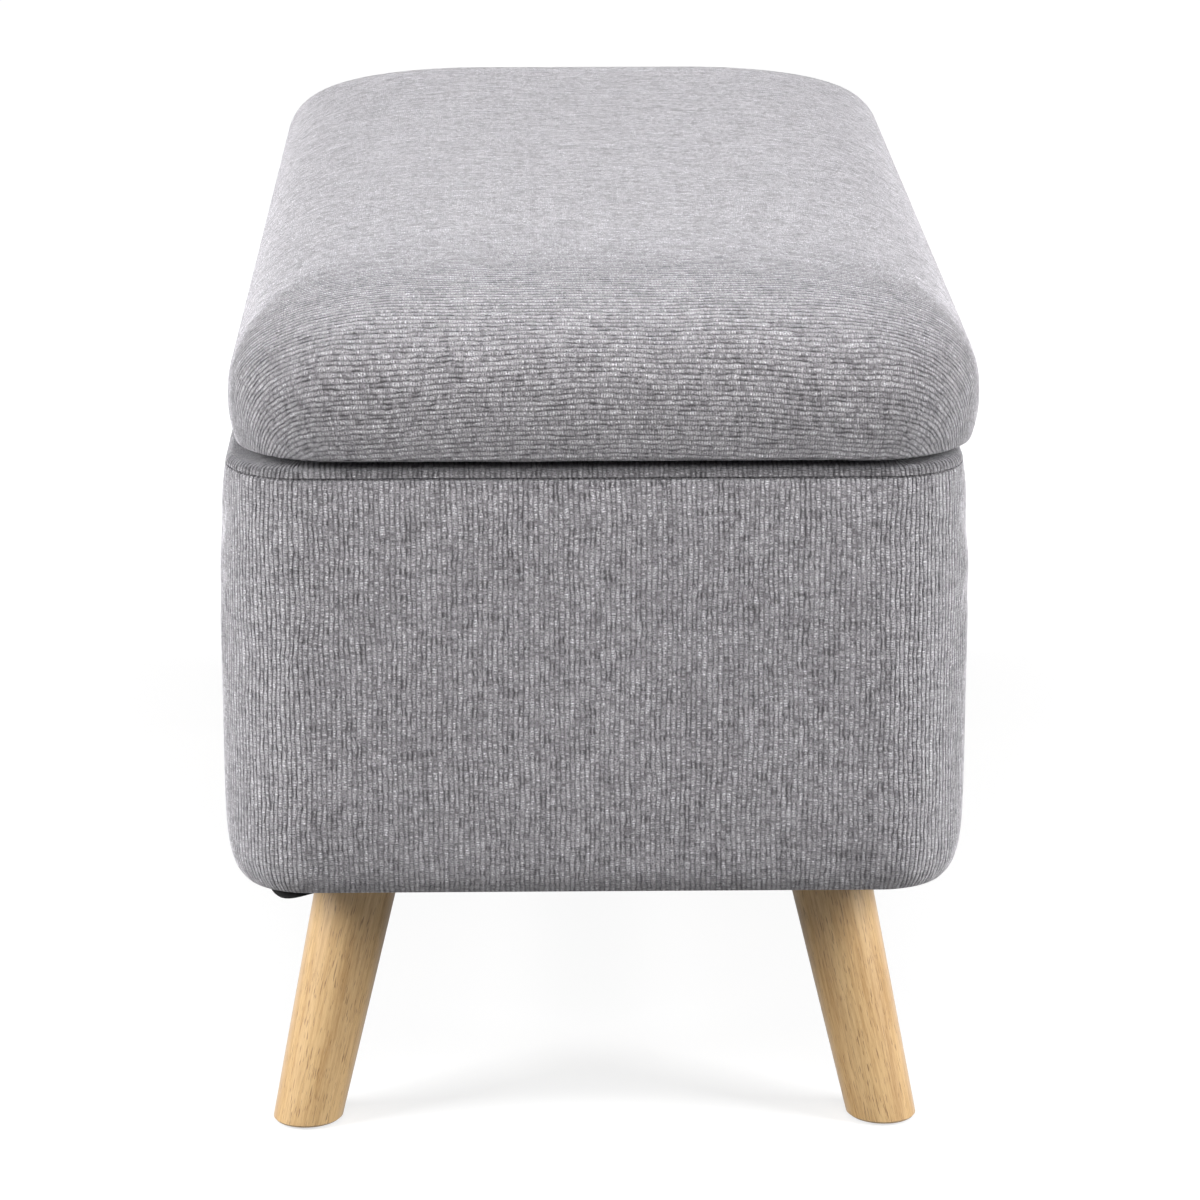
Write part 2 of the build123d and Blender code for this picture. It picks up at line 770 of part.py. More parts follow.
# Rubber bumpers under the turned-in edge of the lid, over the middle of the rim
bumper_x = box_half_x - wall_middle
bumper_front = box_centre_y - box_half_y + wall_middle
bumper_spots = [
    (-hinge_spacing / 2, bumper_front),
    (hinge_spacing / 2, bumper_front),
    (-bumper_x, box_centre_y),
    (bumper_x, box_centre_y),
]
with BuildPart() as lid_bumpers:
    with BuildSketch(Plane.XY.offset(rim_top + running_gap)):
        with Locations(*bumper_spots):
            Circle(bumper_radius)
    extrude(amount=lid_gap - running_gap)
    fillet(lid_bumpers.edges().group_by(Axis.Z)[0], radius=bumper_round)
keep(lid_bumpers, "lid_bumpers")

# ---------------------------------------------------------------- lid stays
# The arm and the link make a parallelogram with the hinge: the arm stays parallel
# to the line from the hinge to the lid pivot, and the link keeps its direction.


def bar(start, end, half_width):
    """Flat bar with round ends about start and end, in the plane of the sketch."""
    middle = ((start[0] + end[0]) / 2, (start[1] + end[1]) / 2, 0)
    angle = math.degrees(math.atan2(end[1] - start[1], end[0] - start[0]))
    with Locations(Location(middle, (0, 0, angle))):
        SlotCenterToCenter(math.dist(start, end), 2 * half_width)


def hole(spot, radius):
    """Round hole in the plane of the sketch."""
    with Locations(spot):
        Circle(radius, mode=Mode.SUBTRACT)


def rivet(side, spot, start, end):
    """Rivet along X from start to end, with a head beyond its end."""
    with BuildSketch(Plane.YZ.offset(side * start)) as shank:
        with Locations(spot):
            Circle(rivet_radius)
    extrude(shank.sketch, amount=side * (end - start))
    with BuildSketch(Plane.YZ.offset(side * end)) as head:
        with Locations(spot):
            Circle(rivet_head_radius)
    extrude(head.sketch, amount=side * math.copysign(rivet_head, end - start), taper=20)


# The arm meets its stop when the lid is fully open.
open_angle = math.atan2(-stay_lid_drop, -stay_arm_reach) - math.radians(lid_opening)
along = (math.cos(open_angle), math.sin(open_angle))
stop_offset = stay_half_width + running_gap + stay_stop_thickness / 2
stop_spot = (
    stay_pivot[0] + stay_stop_reach * along[0] + stop_offset * along[1],
    stay_pivot[1] + stay_stop_reach * along[1] - stop_offset * along[0],
)

for side, name in ((-1, "left"), (1, "right")):
    with BuildPart() as wall_plate:
        with BuildSketch(Plane.YZ.offset(side * plate_outer)):
            for spot in (*stay_screw_spots, stop_spot):
                bar(stay_pivot, spot, 0.8 * stay_half_width)
            hole(stay_pivot, rivet_radius + screw_gap)
        extrude(amount=-side * stay_plate)
        with BuildSketch(Plane.YZ.offset(side * plate_inner)):
            with Locations(Location((*stop_spot, 0), (0, 0, math.degrees(open_angle)))):
                Rectangle(stay_stop_length, stay_stop_thickness)
        extrude(amount=-side * (plate_inner - arm_inner))
        with Locations(Plane((side * plate_inner, 0, 0), x_dir=(0, 1, 0), z_dir=(-side, 0, 0))):
            with Locations(*[(y, -side * z) for y, z in stay_screw_spots]):
                sink(stay_plate)
    keep(wall_plate, f"stay_{name}_wall_plate")

    with BuildPart() as wall_rivet:
        rivet(side, stay_pivot, plate_outer, arm_inner - skin_gap)
    keep(wall_rivet, f"stay_{name}_wall_rivet")

    with BuildPart() as arm:
        with BuildSketch(Plane.YZ.offset(side * arm_outer)):
            bar(stay_pivot, elbow, stay_half_width)
            hole(stay_pivot, rivet_radius + pin_gap)
            hole(elbow, rivet_radius + screw_gap)
        extrude(amount=-side * stay_bar)
    keep(arm, f"stay_{name}_arm")

    with BuildPart() as elbow_rivet:
        rivet(side, elbow, arm_outer, link_inner - skin_gap)
    keep(elbow_rivet, f"stay_{name}_elbow_rivet")

    with BuildPart() as link:
        with BuildSketch(Plane.YZ.offset(side * link_outer)):
            bar(elbow, lid_pivot, stay_half_width)
            hole(elbow, rivet_radius + open_pivot_gap)
            hole(lid_pivot, rivet_radius + pin_gap)
        extrude(amount=-side * stay_bar)
    keep(link, f"stay_{name}_link")

    flange_top = lid_bottom - skin_gap / 2
    with BuildPart() as lid_bracket:
        with BuildSketch(Plane.YZ.offset(side * tab_outer)):
            with Locations(lid_pivot):
                Circle(stay_half_width)
                Rectangle(
                    2 * stay_half_width,
                    flange_top - lid_pivot[1],
                    align=(Align.CENTER, Align.MIN),
                )
            hole(lid_pivot, rivet_radius + screw_gap)
        extrude(amount=-side * stay_plate)
        with BuildSketch(Plane.XY.offset(flange_top)):
            with Locations((side * (tab_outer - bracket_flange / 2), lid_pivot[0])):
                Rectangle(bracket_flange, bracket_length)
            inner_corners = vertices().group_by(Axis.X)[0 if side > 0 else -1]
            fillet(inner_corners, radius=bracket_corner)
        extrude(amount=-stay_plate)
        with Locations(Plane((0, 0, flange_top - stay_plate), x_dir=(1, 0, 0), z_dir=(0, 0, -1))):
            with Locations(*[(x, -y) for x, y in lid_stay_spots if x * side > 0]):
                sink(stay_plate)
    keep(lid_bracket, f"stay_{name}_lid_bracket")

    with BuildPart() as lid_rivet:
        rivet(side, lid_pivot, tab_inner, link_outer + skin_gap)
    keep(lid_rivet, f"stay_{name}_lid_rivet")

with BuildPart() as stay_screw:
    with BuildSketch(Plane.XZ):
        screw_profile(small_screw_radius, stay_screw_length, stay_plate)
    revolve(axis=Axis.Z)
with BuildPart() as stay_wall_screws:
    for side in (-1, 1):
        turned = stay_screw.part.rotate(Axis.Y, 90 * side)
        with Locations(*[(side * plate_inner, y, z) for y, z in stay_screw_spots]):
            add(turned)
keep(stay_wall_screws, "stay_wall_screws")
with BuildPart() as stay_lid_screws:
    with Locations(*[(x, y, flange_top - stay_plate) for x, y in lid_stay_spots]):
        add(stay_screw.part)
keep(stay_lid_screws, "stay_lid_screws")
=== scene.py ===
# %% [markdown]
# # A storage bench, dressed
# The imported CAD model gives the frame: every piece's place, in metres, with Z up and the front at -Y.
# This lesson dresses it. Soft pieces are made again as cloth and padding, and the rigid ones keep
# their CAD shape and get their materials.

# %% Load the frame
import bmesh
import bpy
import math
import numpy as np
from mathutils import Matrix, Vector


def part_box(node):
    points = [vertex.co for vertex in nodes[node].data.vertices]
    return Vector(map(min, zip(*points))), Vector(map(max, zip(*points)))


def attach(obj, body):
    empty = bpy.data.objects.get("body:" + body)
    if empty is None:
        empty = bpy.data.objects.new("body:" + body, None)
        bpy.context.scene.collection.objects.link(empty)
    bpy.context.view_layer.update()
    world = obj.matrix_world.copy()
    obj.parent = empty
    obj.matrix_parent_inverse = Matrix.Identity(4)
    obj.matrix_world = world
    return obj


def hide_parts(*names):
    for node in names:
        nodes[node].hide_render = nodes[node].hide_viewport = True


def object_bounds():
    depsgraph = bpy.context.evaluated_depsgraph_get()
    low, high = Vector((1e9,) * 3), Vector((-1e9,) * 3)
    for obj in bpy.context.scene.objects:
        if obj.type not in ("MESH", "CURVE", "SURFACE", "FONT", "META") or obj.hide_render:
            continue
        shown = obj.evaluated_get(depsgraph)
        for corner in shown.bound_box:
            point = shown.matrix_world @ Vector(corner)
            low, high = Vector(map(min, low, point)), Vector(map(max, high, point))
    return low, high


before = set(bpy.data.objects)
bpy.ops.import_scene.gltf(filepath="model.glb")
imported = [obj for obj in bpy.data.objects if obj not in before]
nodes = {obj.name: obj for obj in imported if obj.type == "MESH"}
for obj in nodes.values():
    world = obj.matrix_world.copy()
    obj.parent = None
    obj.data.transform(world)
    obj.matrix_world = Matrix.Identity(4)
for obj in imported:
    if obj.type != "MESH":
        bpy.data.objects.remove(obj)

mm = 0.001
cad_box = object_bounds()

# %% [markdown]
# ## Camera
# The bench is seen from one end, a little from above and from far away, so a long lens is needed.
# The camera is placed by its distance, height and aim, all measured from the bench's own box.


# %% Camera
def placed(name, data, place, way):
    """A camera or light at place that looks along way."""
    made = bpy.data.objects.new(name, data)
    bpy.context.scene.collection.objects.link(made)
    made.location = place
    made.rotation_mode = "QUATERNION"
    made.rotation_quaternion = way.to_track_quat("-Z", "Y")
    print(name, "at", [round(v, 3) for v in made.location])
    return made


low, high = cad_box
distance, aside, rise = 2.431, 0.0458, 0.5158
yaw, pitch = 0.0186, 0.2742
camera_data = bpy.data.cameras.new("camera")
camera_data.lens = 143.6
camera_data.clip_start = 0.1
camera_data.clip_end = 60
aim = Vector((math.cos(yaw) * math.cos(pitch), -math.sin(yaw) * math.cos(pitch), -math.sin(pitch)))
place = (low.x - distance, aside, high.z + rise)
bpy.context.scene.camera = placed("camera", camera_data, place, aim)

# %% [markdown]
# ## Helpers for surfaces
# Every soft piece of this bench follows a rounded rectangle. A column of points belongs to one place
# on the outline: slide says where on the straight runs it is, and normal says which way is out. A
# rounded rectangle of any size is then: centre + slide x (half size - radius) + radius x normal.
# The same columns serve every level, so a whole skin is one array of rows by columns.


# %% Columns round a rounded rectangle
def columns_round(steps_x, steps_y, steps_corner, cut=False):
    """Slide and normal of each column, anticlockwise from the middle of the front (-Y) side, by the
    number of steps on each run. The normal at a corner is (cos, sin) of an angle that turns
    evenly. With cut, the corners run straight across: normal = (1 - t) x first + t x last."""
    corners = [(0, -1), (1, -1), (1, 1), (-1, 1), (-1, -1), (0, -1)]
    runs = []
    for k, steps in enumerate((steps_x // 2, steps_y, steps_x, steps_y, steps_x // 2)):
        angle = 90 * k - 90
        runs.append((corners[k], corners[k + 1], angle, angle, steps))
        runs.append((corners[k + 1], corners[k + 1], angle, angle + 90, steps_corner))

    def facing(degrees):
        turn = np.radians(degrees)
        return np.hstack([np.cos(turn), np.sin(turn)])

    slides, normals = [], []
    for first, last, start, end, steps in runs[:-1]:
        t = np.arange(steps)[:, None] / steps
        slides.append((1 - t) * first + t * last)
        across = (1 - t) * facing([[start]]) + t * facing([[end]])
        normals.append(np.round(across if cut else facing(start + (end - start) * t), 12))
    return np.concatenate(slides), np.concatenate(normals)


def levels_to_points(levels, half_x, half_y, centre_y, slide, normal):
    """Rows of points from levels of (inset, corner radius, height):
    centre + slide x (half size - inset - radius) + radius x normal, at that height."""
    inset, radius, height = (np.asarray(v, float)[:, None] for v in zip(*levels))
    x = slide[:, 0] * (half_x - inset - radius) + radius * normal[:, 0]
    y = centre_y + slide[:, 1] * (half_y - inset - radius) + radius * normal[:, 1]
    return np.stack([x, y, np.broadcast_to(height, x.shape)], 2)


def outward(normal, far):
    """Moves along the columns' normals by the distances far, an array of rows by columns."""
    return np.concatenate([normal, np.zeros((len(normal), 1))], 1)[None] * far[:, :, None]


def lengths_round(ring):
    """Distance of each point along a closed ring from the first one, and the whole length last."""
    steps = np.linalg.norm(np.diff(ring, axis=0, append=ring[:1]), axis=1)
    return np.concatenate([[0], np.cumsum(steps)])


def evenly_round(ring, pitch, start):
    """Places about one pitch apart on a closed ring, the first one start x pitch from its
    beginning, and the unit tangents there, read over the next half millimetre."""
    at = lengths_round(ring)
    count = round(at[-1] / pitch)
    spots = (np.arange(count) + start) * at[-1] / count
    closed = np.concatenate([ring, ring[:1]])

    def point(v):
        return np.stack([np.interp(v % at[-1], at, closed[:, k]) for k in range(3)], 1)

    where = point(spots)
    ways = point(spots + 0.5 * mm) - where
    return where, ways / np.linalg.norm(ways, axis=1, keepdims=True)


def cloth_map(down, around):
    """A cloth map of rows by columns: (distance around, distance down)."""
    return np.stack(np.meshgrid(down, around, indexing="ij")[::-1], 2)


# %% Arrays of points become meshes
def scene_object(name, mesh, merge=0.0, outwards=False):
    """An object with this mesh. With merge, points nearer than that become one. With outwards,
    the faces of closed shapes are turned out."""
    if merge or outwards:
        made = bmesh.new()
        made.from_mesh(mesh)
        if merge:
            bmesh.ops.remove_doubles(made, verts=made.verts, dist=merge)
            bmesh.ops.dissolve_degenerate(made, edges=made.edges, dist=merge / 10)
        if outwards:
            bmesh.ops.recalc_face_normals(made, faces=made.faces)
        made.to_mesh(mesh)
        made.free()
    mesh.update()
    made = bpy.data.objects.new(name, mesh)
    bpy.context.scene.collection.objects.link(made)
    print(f"{name}: {len(mesh.vertices)} points, {len(mesh.polygons)} faces")
    return made


def cells_of(rows, columns, wrap_rows=False, wrap_columns=True):
    """Row and column of the four corners of each quad between neighbours, before wrapping."""
    r = np.arange(rows if wrap_rows else rows - 1)
    c = np.arange(columns if wrap_columns else columns - 1)
    r, c = (v.ravel()[:, None] for v in np.meshgrid(r, c, indexing="ij"))
    return r + [0, 0, 1, 1], c + [0, 1, 1, 0]


def grid_object(
    name, points, uv=None, wrap_rows=False, wrap_columns=True, merge=0.0, flip=False, kinds=None
):
    """Mesh of the quads between neighbours in a (rows, columns, 3) array. The faces point to the
    left of the way the rows run, seen along the columns, or the other way with flip. uv has one
    row and one column more than the faces need, so that a wrapped map doesn't run backwards.
    kinds gives the number of the material for each row of faces."""
    rows, columns = points.shape[:2]
    r, c = cells_of(rows, columns, wrap_rows, wrap_columns)
    if flip:
        r, c = r[:, ::-1], c[:, ::-1]
    mesh = bpy.data.meshes.new(name)
    mesh.from_pydata(points.reshape(-1, 3), [], r % rows * columns + c % columns)
    if uv is not None:
        layer = mesh.uv_layers.new(name="cloth")
        layer.data.foreach_set("uv", uv[r, c].astype(np.float32).ravel())
    mesh.polygons.foreach_set("use_smooth", np.ones(len(r), bool))
    if kinds is not None:
        mesh.polygons.foreach_set("material_index", np.asarray(kinds)[r.min(1)].astype(np.int32))
    return scene_object(name, mesh, merge)


def tubes(name, local, places, axes, capped=True, merge=0.0, rounded=True):
    """A copy at each place of one closed tube. local holds its (rings, sides, 3) points along three
    axes, which each place has of its own. Without caps its first and last rings have no width,
    and merge closes them."""
    axes = [np.broadcast_to(axis, places.shape)[:, None, None] for axis in axes]
    spots = places[:, None, None] + sum(local[None, :, :, k, None] * axes[k] for k in range(3))
    count, rings, sides = spots.shape[:3]
    r, c = cells_of(rings, sides)
    start = np.arange(count)[:, None, None] * rings * sides
    faces = (start + r * sides + c % sides).reshape(-1, 4).tolist()
    if capped:
        first = start[:, 0] + np.arange(sides)
        faces += first.tolist() + (first + (rings - 1) * sides).tolist()
    mesh = bpy.data.meshes.new(name)
    mesh.from_pydata(spots.reshape(-1, 3), [], faces)
    mesh.polygons.foreach_set("use_smooth", np.full(len(faces), rounded))
    return scene_object(name, mesh, merge, outwards=True)


def thicken(piece, thickness, offset=0):
    """Gives a sheet its thickness: to both sides, or inwards with offset -1."""
    solid = piece.modifiers.new("thickness", "SOLIDIFY")
    solid.thickness = thickness
    solid.offset = offset


def belongs(piece, body, slot, *replaced):
    """Attaches a piece to the body it moves with and hides the CAD nodes that it replaces. slot is not
    used.
    """
    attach(piece, body)
    if replaced:
        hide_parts(*replaced)


# %% Waves and turns
def ripple(along, length, waves, seed):
    """A smooth uneven wave from -1 to 1 that repeats after length: a sum of seven sines whose
    counts lie round the number of waves, with fixed phases from the seed."""
    total = np.zeros_like(along)
    for k in range(7):
        count = round(waves * (0.62 + 0.13 * k)) + (k * seed) % 3
        total = total + np.sin(2 * np.pi * count * along / length + seed * (k + 1.7) ** 1.5)
    return total / 3.5


def bell(x, width):
    """e to the power -(x / width)^2: 1 at x = 0, and almost 0 two widths away."""
    return np.exp(-((x / width) ** 2))


def smooth(x, start, end):
    """0 before start, 1 after end, with a smooth turn between."""
    part = np.clip((x - start) / (end - start), 0, 1)
    return part * part * (3 - 2 * part)


# %% [markdown]
# ## Padding that swells
# Foam under cloth is never quite the plain form: it swells against its seams. Blender's Cloth with
# pressure gives that. It runs on a coarse closed copy of the skin, with the hidden rows pinned, and
# the way each point moved is kept, capped, and carried over to the fine grid.


# %% Cloth pressure on a coarse skin
def swell(points, held_rows, wrap_rows, pressure=3.0, limit=2.2 * mm, frames=20):
    """How far each point of the grid moves under pressure, as an array like points. Moves are
    capped at limit: move x limit / (limit + length). Rows named in held_rows stay."""
    piece = grid_object("swelling", points, wrap_rows=wrap_rows)
    group = piece.vertex_groups.new(name="held")
    columns = points.shape[1]
    held = np.concatenate([np.arange(columns) + row * columns for row in held_rows])
    group.add(held.tolist(), 1.0, "REPLACE")
    cloth = piece.modifiers.new("cloth", "CLOTH")
    settings = cloth.settings
    settings.use_pressure = True
    settings.uniform_pressure_force = pressure
    settings.vertex_group_mass = "held"
    settings.effector_weights.gravity = 0
    cloth.collision_settings.use_collision = False
    cloth.point_cache.frame_start, cloth.point_cache.frame_end = 1, frames
    scene = bpy.context.scene
    for number in range(1, frames + 1):
        scene.frame_set(number)
    graph = bpy.context.evaluated_depsgraph_get()
    final = piece.evaluated_get(graph).data
    moved = np.empty(len(final.vertices) * 3)
    final.vertices.foreach_get("co", moved)
    move = moved.reshape(points.shape) - points
    scene.frame_set(1)
    bpy.data.objects.remove(piece)
    far = np.linalg.norm(move, axis=2, keepdims=True)
    print("swell: farthest", round(float(far.max()) * 1000, 1), "mm before the cap")
    return move * limit / (limit + far)


def between(values, steps, wrap=False, curved=(0, 0)):
    """Rows read at in-between steps: by a straight line, or, between the two steps in curved, by
    the Catmull-Rom curve (2b + (c - a)t + (2a - 5b + 4c - d)t^2 + (3b - a - 3c + d)t^3) / 2
    through the four rows a, b, c, d around it."""
    values = np.asarray(values, float)
    whole = np.floor(steps).astype(int)
    t = np.expand_dims(steps - whole, tuple(range(1, values.ndim)))
    pick = [whole + k for k in (-1, 0, 1, 2)]
    pick = [k % len(values) if wrap else np.clip(k, 0, len(values) - 1) for k in pick]
    a, b, c, d = (values[k] for k in pick)
    straight = b + (c - b) * t
    curve = (2 * b + (c - a) * t + (2 * a - 5 * b + 4 * c - d) * t**2 + (3 * b - a - 3 * c + d) * t**3) / 2
    inside = (steps >= curved[0]) & (steps <= curved[1])
    return np.where(inside.reshape(t.shape), curve, straight)


def padded_skin(levels, columns, plan, held, curved, wrap_rows=False, sink=0.0):
    """A fine skin of levels, three times finer both ways than the coarse one that swells. The
    curved rows and the columns are read by curves. sink lowers the rows from the first curved one
    on. Returns the points, the slides and normals of the columns, and the steps of the rows."""
    finer, count = 3, len(levels)
    ways = columns_round(*(finer * number for number in columns))
    step = np.arange(count * finer if wrap_rows else (count - 1) * finer + 1) / finer
    points = levels_to_points(between(levels, step, wrap_rows, curved), *plan, *ways)
    coarse = levels_to_points(levels, *plan, *columns_round(*columns))
    lower = coarse.copy()
    lower[curved[0] :, :, 2] -= sink
    move = swell(lower, held, wrap_rows) + lower - coarse
    across = move.shape[1]
    wide = between(move.swapaxes(0, 1), np.arange(across * finer) / finer, wrap=True, curved=(0, across))
    return points + between(wide.swapaxes(0, 1), step, wrap_rows, curved), ways, step


# %% [markdown]
# ## Sizes from the frame
# The boxes of the CAD nodes give the sizes of the soft pieces. Thicknesses and tucks that a box
# can't show are named here, as they were cut. A plan is a half length, a half width and the y of
# the middle.

# %% Sizes
lid_low, lid_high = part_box("lid_cover")
board_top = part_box("lid_board")[1].z
cover_low, cover_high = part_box("box_cover")
foam_low, foam_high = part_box("box_foam")
rim_low, rim_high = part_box("rim_band")
lid_half_y, lid_middle = (lid_high.y - lid_low.y) / 2, (lid_high.y + lid_low.y) / 2
lid_plan = ((lid_high.x - lid_low.x) / 2, lid_half_y, lid_middle)
box_half_x, box_middle = round(cover_high.x, 4), (cover_high.y + cover_low.y) / 2
box_plan = (box_half_x, (cover_high.y - cover_low.y) / 2, box_middle)
cloth_thickness = 1.5 * mm
weld = 0.02 * mm
lid_corner, box_corner = 52 * mm, 46 * mm
lid_widest = lid_low.z + 28.5 * mm
lid_tuck, lid_return, lid_fold = 5.0 * mm, 56 * mm, 3.0 * mm
board_inset, pad_bottom = 11.8 * mm, board_top + 0.2 * mm
crown_flatness, edge_fullness, crown_roundness, crown_sink = 4.6, 2.4, 0.95, 2.4 * mm
bottom_tuck, rim_tuck = 14 * mm, 3 * mm
bottom_rise, bottom_fullness = 31 * mm, 0.8
draw_in_height, groove = 87 * mm, 1.4 * mm
cover_return, foam_back = 22 * mm, 15.8 * mm
print("lid", [round(2 * v, 4) for v in lid_plan[:2]], "top", round(lid_high.z, 4))

# %% [markdown]
# ## The lid cushion
# The lid is foam on a board, with chenille pulled over it and stapled underneath. Its section is a
# superellipse: nearly flat on top, rolling over at the side to the widest line, and drawn in again
# down to the edge. One closed skin holds cloth and foam. Below, the cloth turns in and ends, and
# the skin goes back out over the board and across its top, where the foam rests on it.


# %% Levels of the lid
def lid_levels(outer_rows, roll_rows):
    """(inset, corner radius, height) of each row, from the middle of the pad's underside round
    the outside to the crown. Upper rows: inset = half x depth^2 and
    rise = (1 - (1 - depth^2)^flatness)^(1 / fullness). Lower rows: inset = tuck x k^2."""

    def radius(inset):
        share = lid_corner / lid_half_y
        share = share + (crown_roundness - share) * inset / lid_half_y
        return share * (lid_half_y - inset)

    rows = [
        (lid_half_y, pad_bottom),
        (lid_half_y * 0.5, pad_bottom),
        (board_inset, pad_bottom),
        (board_inset, lid_low.z + cloth_thickness),
        (lid_return, lid_low.z + cloth_thickness),
        (lid_return, lid_low.z),
    ]
    first_outer = len(rows)
    fold_inset = lid_tuck + lid_fold
    for part in np.linspace(0, 1, 7)[1:]:
        rows.append((lid_return + (fold_inset - lid_return) * part, lid_low.z))
    for turn in np.radians([30, 60]):
        rows.append((fold_inset - lid_fold * math.sin(turn), lid_low.z + lid_fold * (1 - math.cos(turn))))
    first_roll = len(rows)
    for k in np.linspace(0.86, 0, roll_rows):
        rows.append((lid_tuck * k * k, lid_widest - (lid_widest - lid_low.z) * k))
    for depth in np.linspace(0, 1, outer_rows + 1)[1:] ** 1.15:
        rise = (1 - (1 - depth * depth) ** crown_flatness) ** (1 / edge_fullness)
        rows.append((lid_half_y * depth * depth, lid_widest + (lid_high.z - lid_widest) * rise))
    return [(inset, radius(inset), height) for inset, height in rows], first_outer, first_roll


def wrap_cloth(points, normal):
    """Cloth coordinates in metres, as if the sheet lay flat on the crown and were smoothed down
    outwards. From the crown down, each row adds its move in plan, and whatever it drops is laid
    off along the outward normal. Where the cloth turns back in, its whole length is laid off so."""
    outwards = points[::-1]
    step = np.diff(outwards, axis=0)
    plan = step[:, :, :2]
    length = np.linalg.norm(step, axis=2)
    back = (plan * normal[None]).sum(2) < 0
    spare = np.where(back, length, length - np.linalg.norm(plan, axis=2))
    moves = plan * ~back[:, :, None] + normal[None] * spare[:, :, None]
    start = outwards[:1, :, :2]
    uv = np.concatenate([start, start + np.cumsum(moves, 0)])[::-1]
    return np.concatenate([uv, uv[:, :1]], 1)


# %% The skin of the lid cushion
outer_rows, roll_rows = 26, 9
levels, first_outer, first_roll = lid_levels(outer_rows, roll_rows)
held = [*range(first_roll), len(levels) - 1]
lid_points, (slide, normal), step = padded_skin(
    levels, (84, 36, 16), lid_plan, held, (first_roll, len(levels)), sink=crown_sink
)
lid_uv = wrap_cloth(lid_points, normal)

# %% [markdown]
# Where the cloth is pulled down over a corner it has too much width, and gathers into small
# ripples at the edge. They are a sum of sines along the edge, strongest at the fold and gone half
# way up the side.

# %% Gathers along the lower edge of the lid
widest_row = np.searchsorted(step, len(levels) - 1 - outer_rows)
along = lengths_round(lid_points[widest_row])
cornerness = smooth(np.abs(normal[:, 0] * normal[:, 1]), 0.0, 0.35)
gather = ripple(along[:-1], along[-1], 250, 3) * (0.35 + 0.65 * cornerness)
long_wave = ripple(along[:-1], along[-1], 24, 5)
height = lid_points[:, :, 2]
cloth_end, fold_start = first_outer - 2, first_outer + 5
near_edge = bell(height - lid_low.z, 7 * mm) * (step >= fold_start)[:, None]
off_floor = height > lid_low.z + 0.1 * mm
lid_points += outward(normal, near_edge * gather[None] * 0.35 * mm)
lid_points[:, :, 2] += near_edge * (gather * 0.25 + long_wave * 0.5)[None] * mm * off_floor

lid_kinds = (step < cloth_end).astype(int)
lid_cushion = grid_object("lid_cushion", lid_points, uv=lid_uv, merge=weld, kinds=lid_kinds)
belongs(lid_cushion, "lid", "ribbed_chenille", "lid_cover", "lid_foam")

# %% [markdown]
# ## The padded side of the box
# A strip of chenille runs round the box over a layer of foam. It turns under at the bottom and ends
# at a seam just below the rim. Its section is a line carried round the outline: flat underneath,
# a quarter of a superellipse, a straight side, and a wide arc that draws in to the seam.


# %% Section of the box
def draw_in(rise):
    """Inset of the upper side at a height above its start: radius - sqrt(radius^2 - rise^2), with
    the radius that reaches the rim's tuck at the seam."""
    radius = (rim_tuck**2 + draw_in_height**2) / (2 * rim_tuck)
    return radius - np.sqrt(radius**2 - rise**2)


def box_levels(return_rows, curve_rows, side_rows, upper_rows):
    """(inset, corner radius, height) of a closed section, from the inner end of the turned-under
    cloth round the outside and back down behind the foam. The lower edge:
    inset = tuck x (1 - sin^fullness) and height = rise x (1 - cos^fullness)."""
    bottom, seam = cover_low.z, cover_high.z
    straight_low = bottom + bottom_rise
    straight_high = seam - draw_in_height
    rows = [(bottom_tuck + cover_return * (1 - part), bottom) for part in np.linspace(0, 1, return_rows)]
    for turn in np.radians(np.linspace(0, 90, curve_rows)[1:]):
        in_by, up_by = (way(turn) ** bottom_fullness for way in (math.sin, math.cos))
        rows.append((bottom_tuck * (1 - in_by), straight_low - bottom_rise * up_by))
    for part in np.linspace(0, 1, side_rows)[1:]:
        rows.append((0.0, straight_low + (straight_high - straight_low) * part))
    for part in np.linspace(0, 1, upper_rows)[1:]:
        rise = (draw_in_height - groove) * part
        rows.append((draw_in(rise), straight_high + rise))
    rows += [(rim_tuck + 0.35 * mm, seam - 0.7 * mm), (rim_tuck + 2.2 * mm, seam)]
    last_outer = len(rows)
    rows += [
        (rim_tuck + 2.6 * mm, foam_high.z - 3 * mm),
        (rim_tuck + 3.6 * mm, foam_high.z),
        (foam_back, foam_high.z),
        (foam_back, foam_low.z),
        (bottom_tuck + cover_return, bottom + cloth_thickness),
    ]
    return [(inset, max(box_corner - inset, 8 * mm), height) for inset, height in rows], last_outer


# %% The skin of the padded side
return_rows, curve_rows = 3, 8
levels, last_outer = box_levels(return_rows, curve_rows, 7, 8)
held_above = last_outer - 3
held = [*range(return_rows + 1), *range(held_above, len(levels))]
box_points, (slide, normal), step = padded_skin(
    levels, (84, 40, 14), box_plan, held, (return_rows, held_above), wrap_rows=True
)
side_row = np.searchsorted(step, return_rows + curve_rows)
around = lengths_round(box_points[side_row])
along, box_perimeter = around[:-1], around[-1]
box_uv = cloth_map(lengths_round(box_points[:, 0]), around)

# %% [markdown]
# Beside the seam the stitches pull the cloth into fine puckers, and the side between is never quite
# even. Both are added as waves along the outline.

# %% Puckers and soft unevenness
height = box_points[:, :, 2]
outside = ((step > return_rows - 1) & (step < last_outer - 0.5))[:, None]
near_seam = bell(height - cover_high.z, 6 * mm)
pucker = ripple(along, box_perimeter, 330, 4) * 0.28 * mm
above = smooth(height, cover_low.z + 5 * mm, cover_low.z + 60 * mm)
below = smooth(-height, -cover_high.z + 4 * mm, -cover_high.z + 60 * mm)
uneven = ripple(along, box_perimeter, 22, 2) * 0.3 * mm
box_points += outward(normal, (near_seam * pucker[None] + above * below * uneven[None]) * outside)

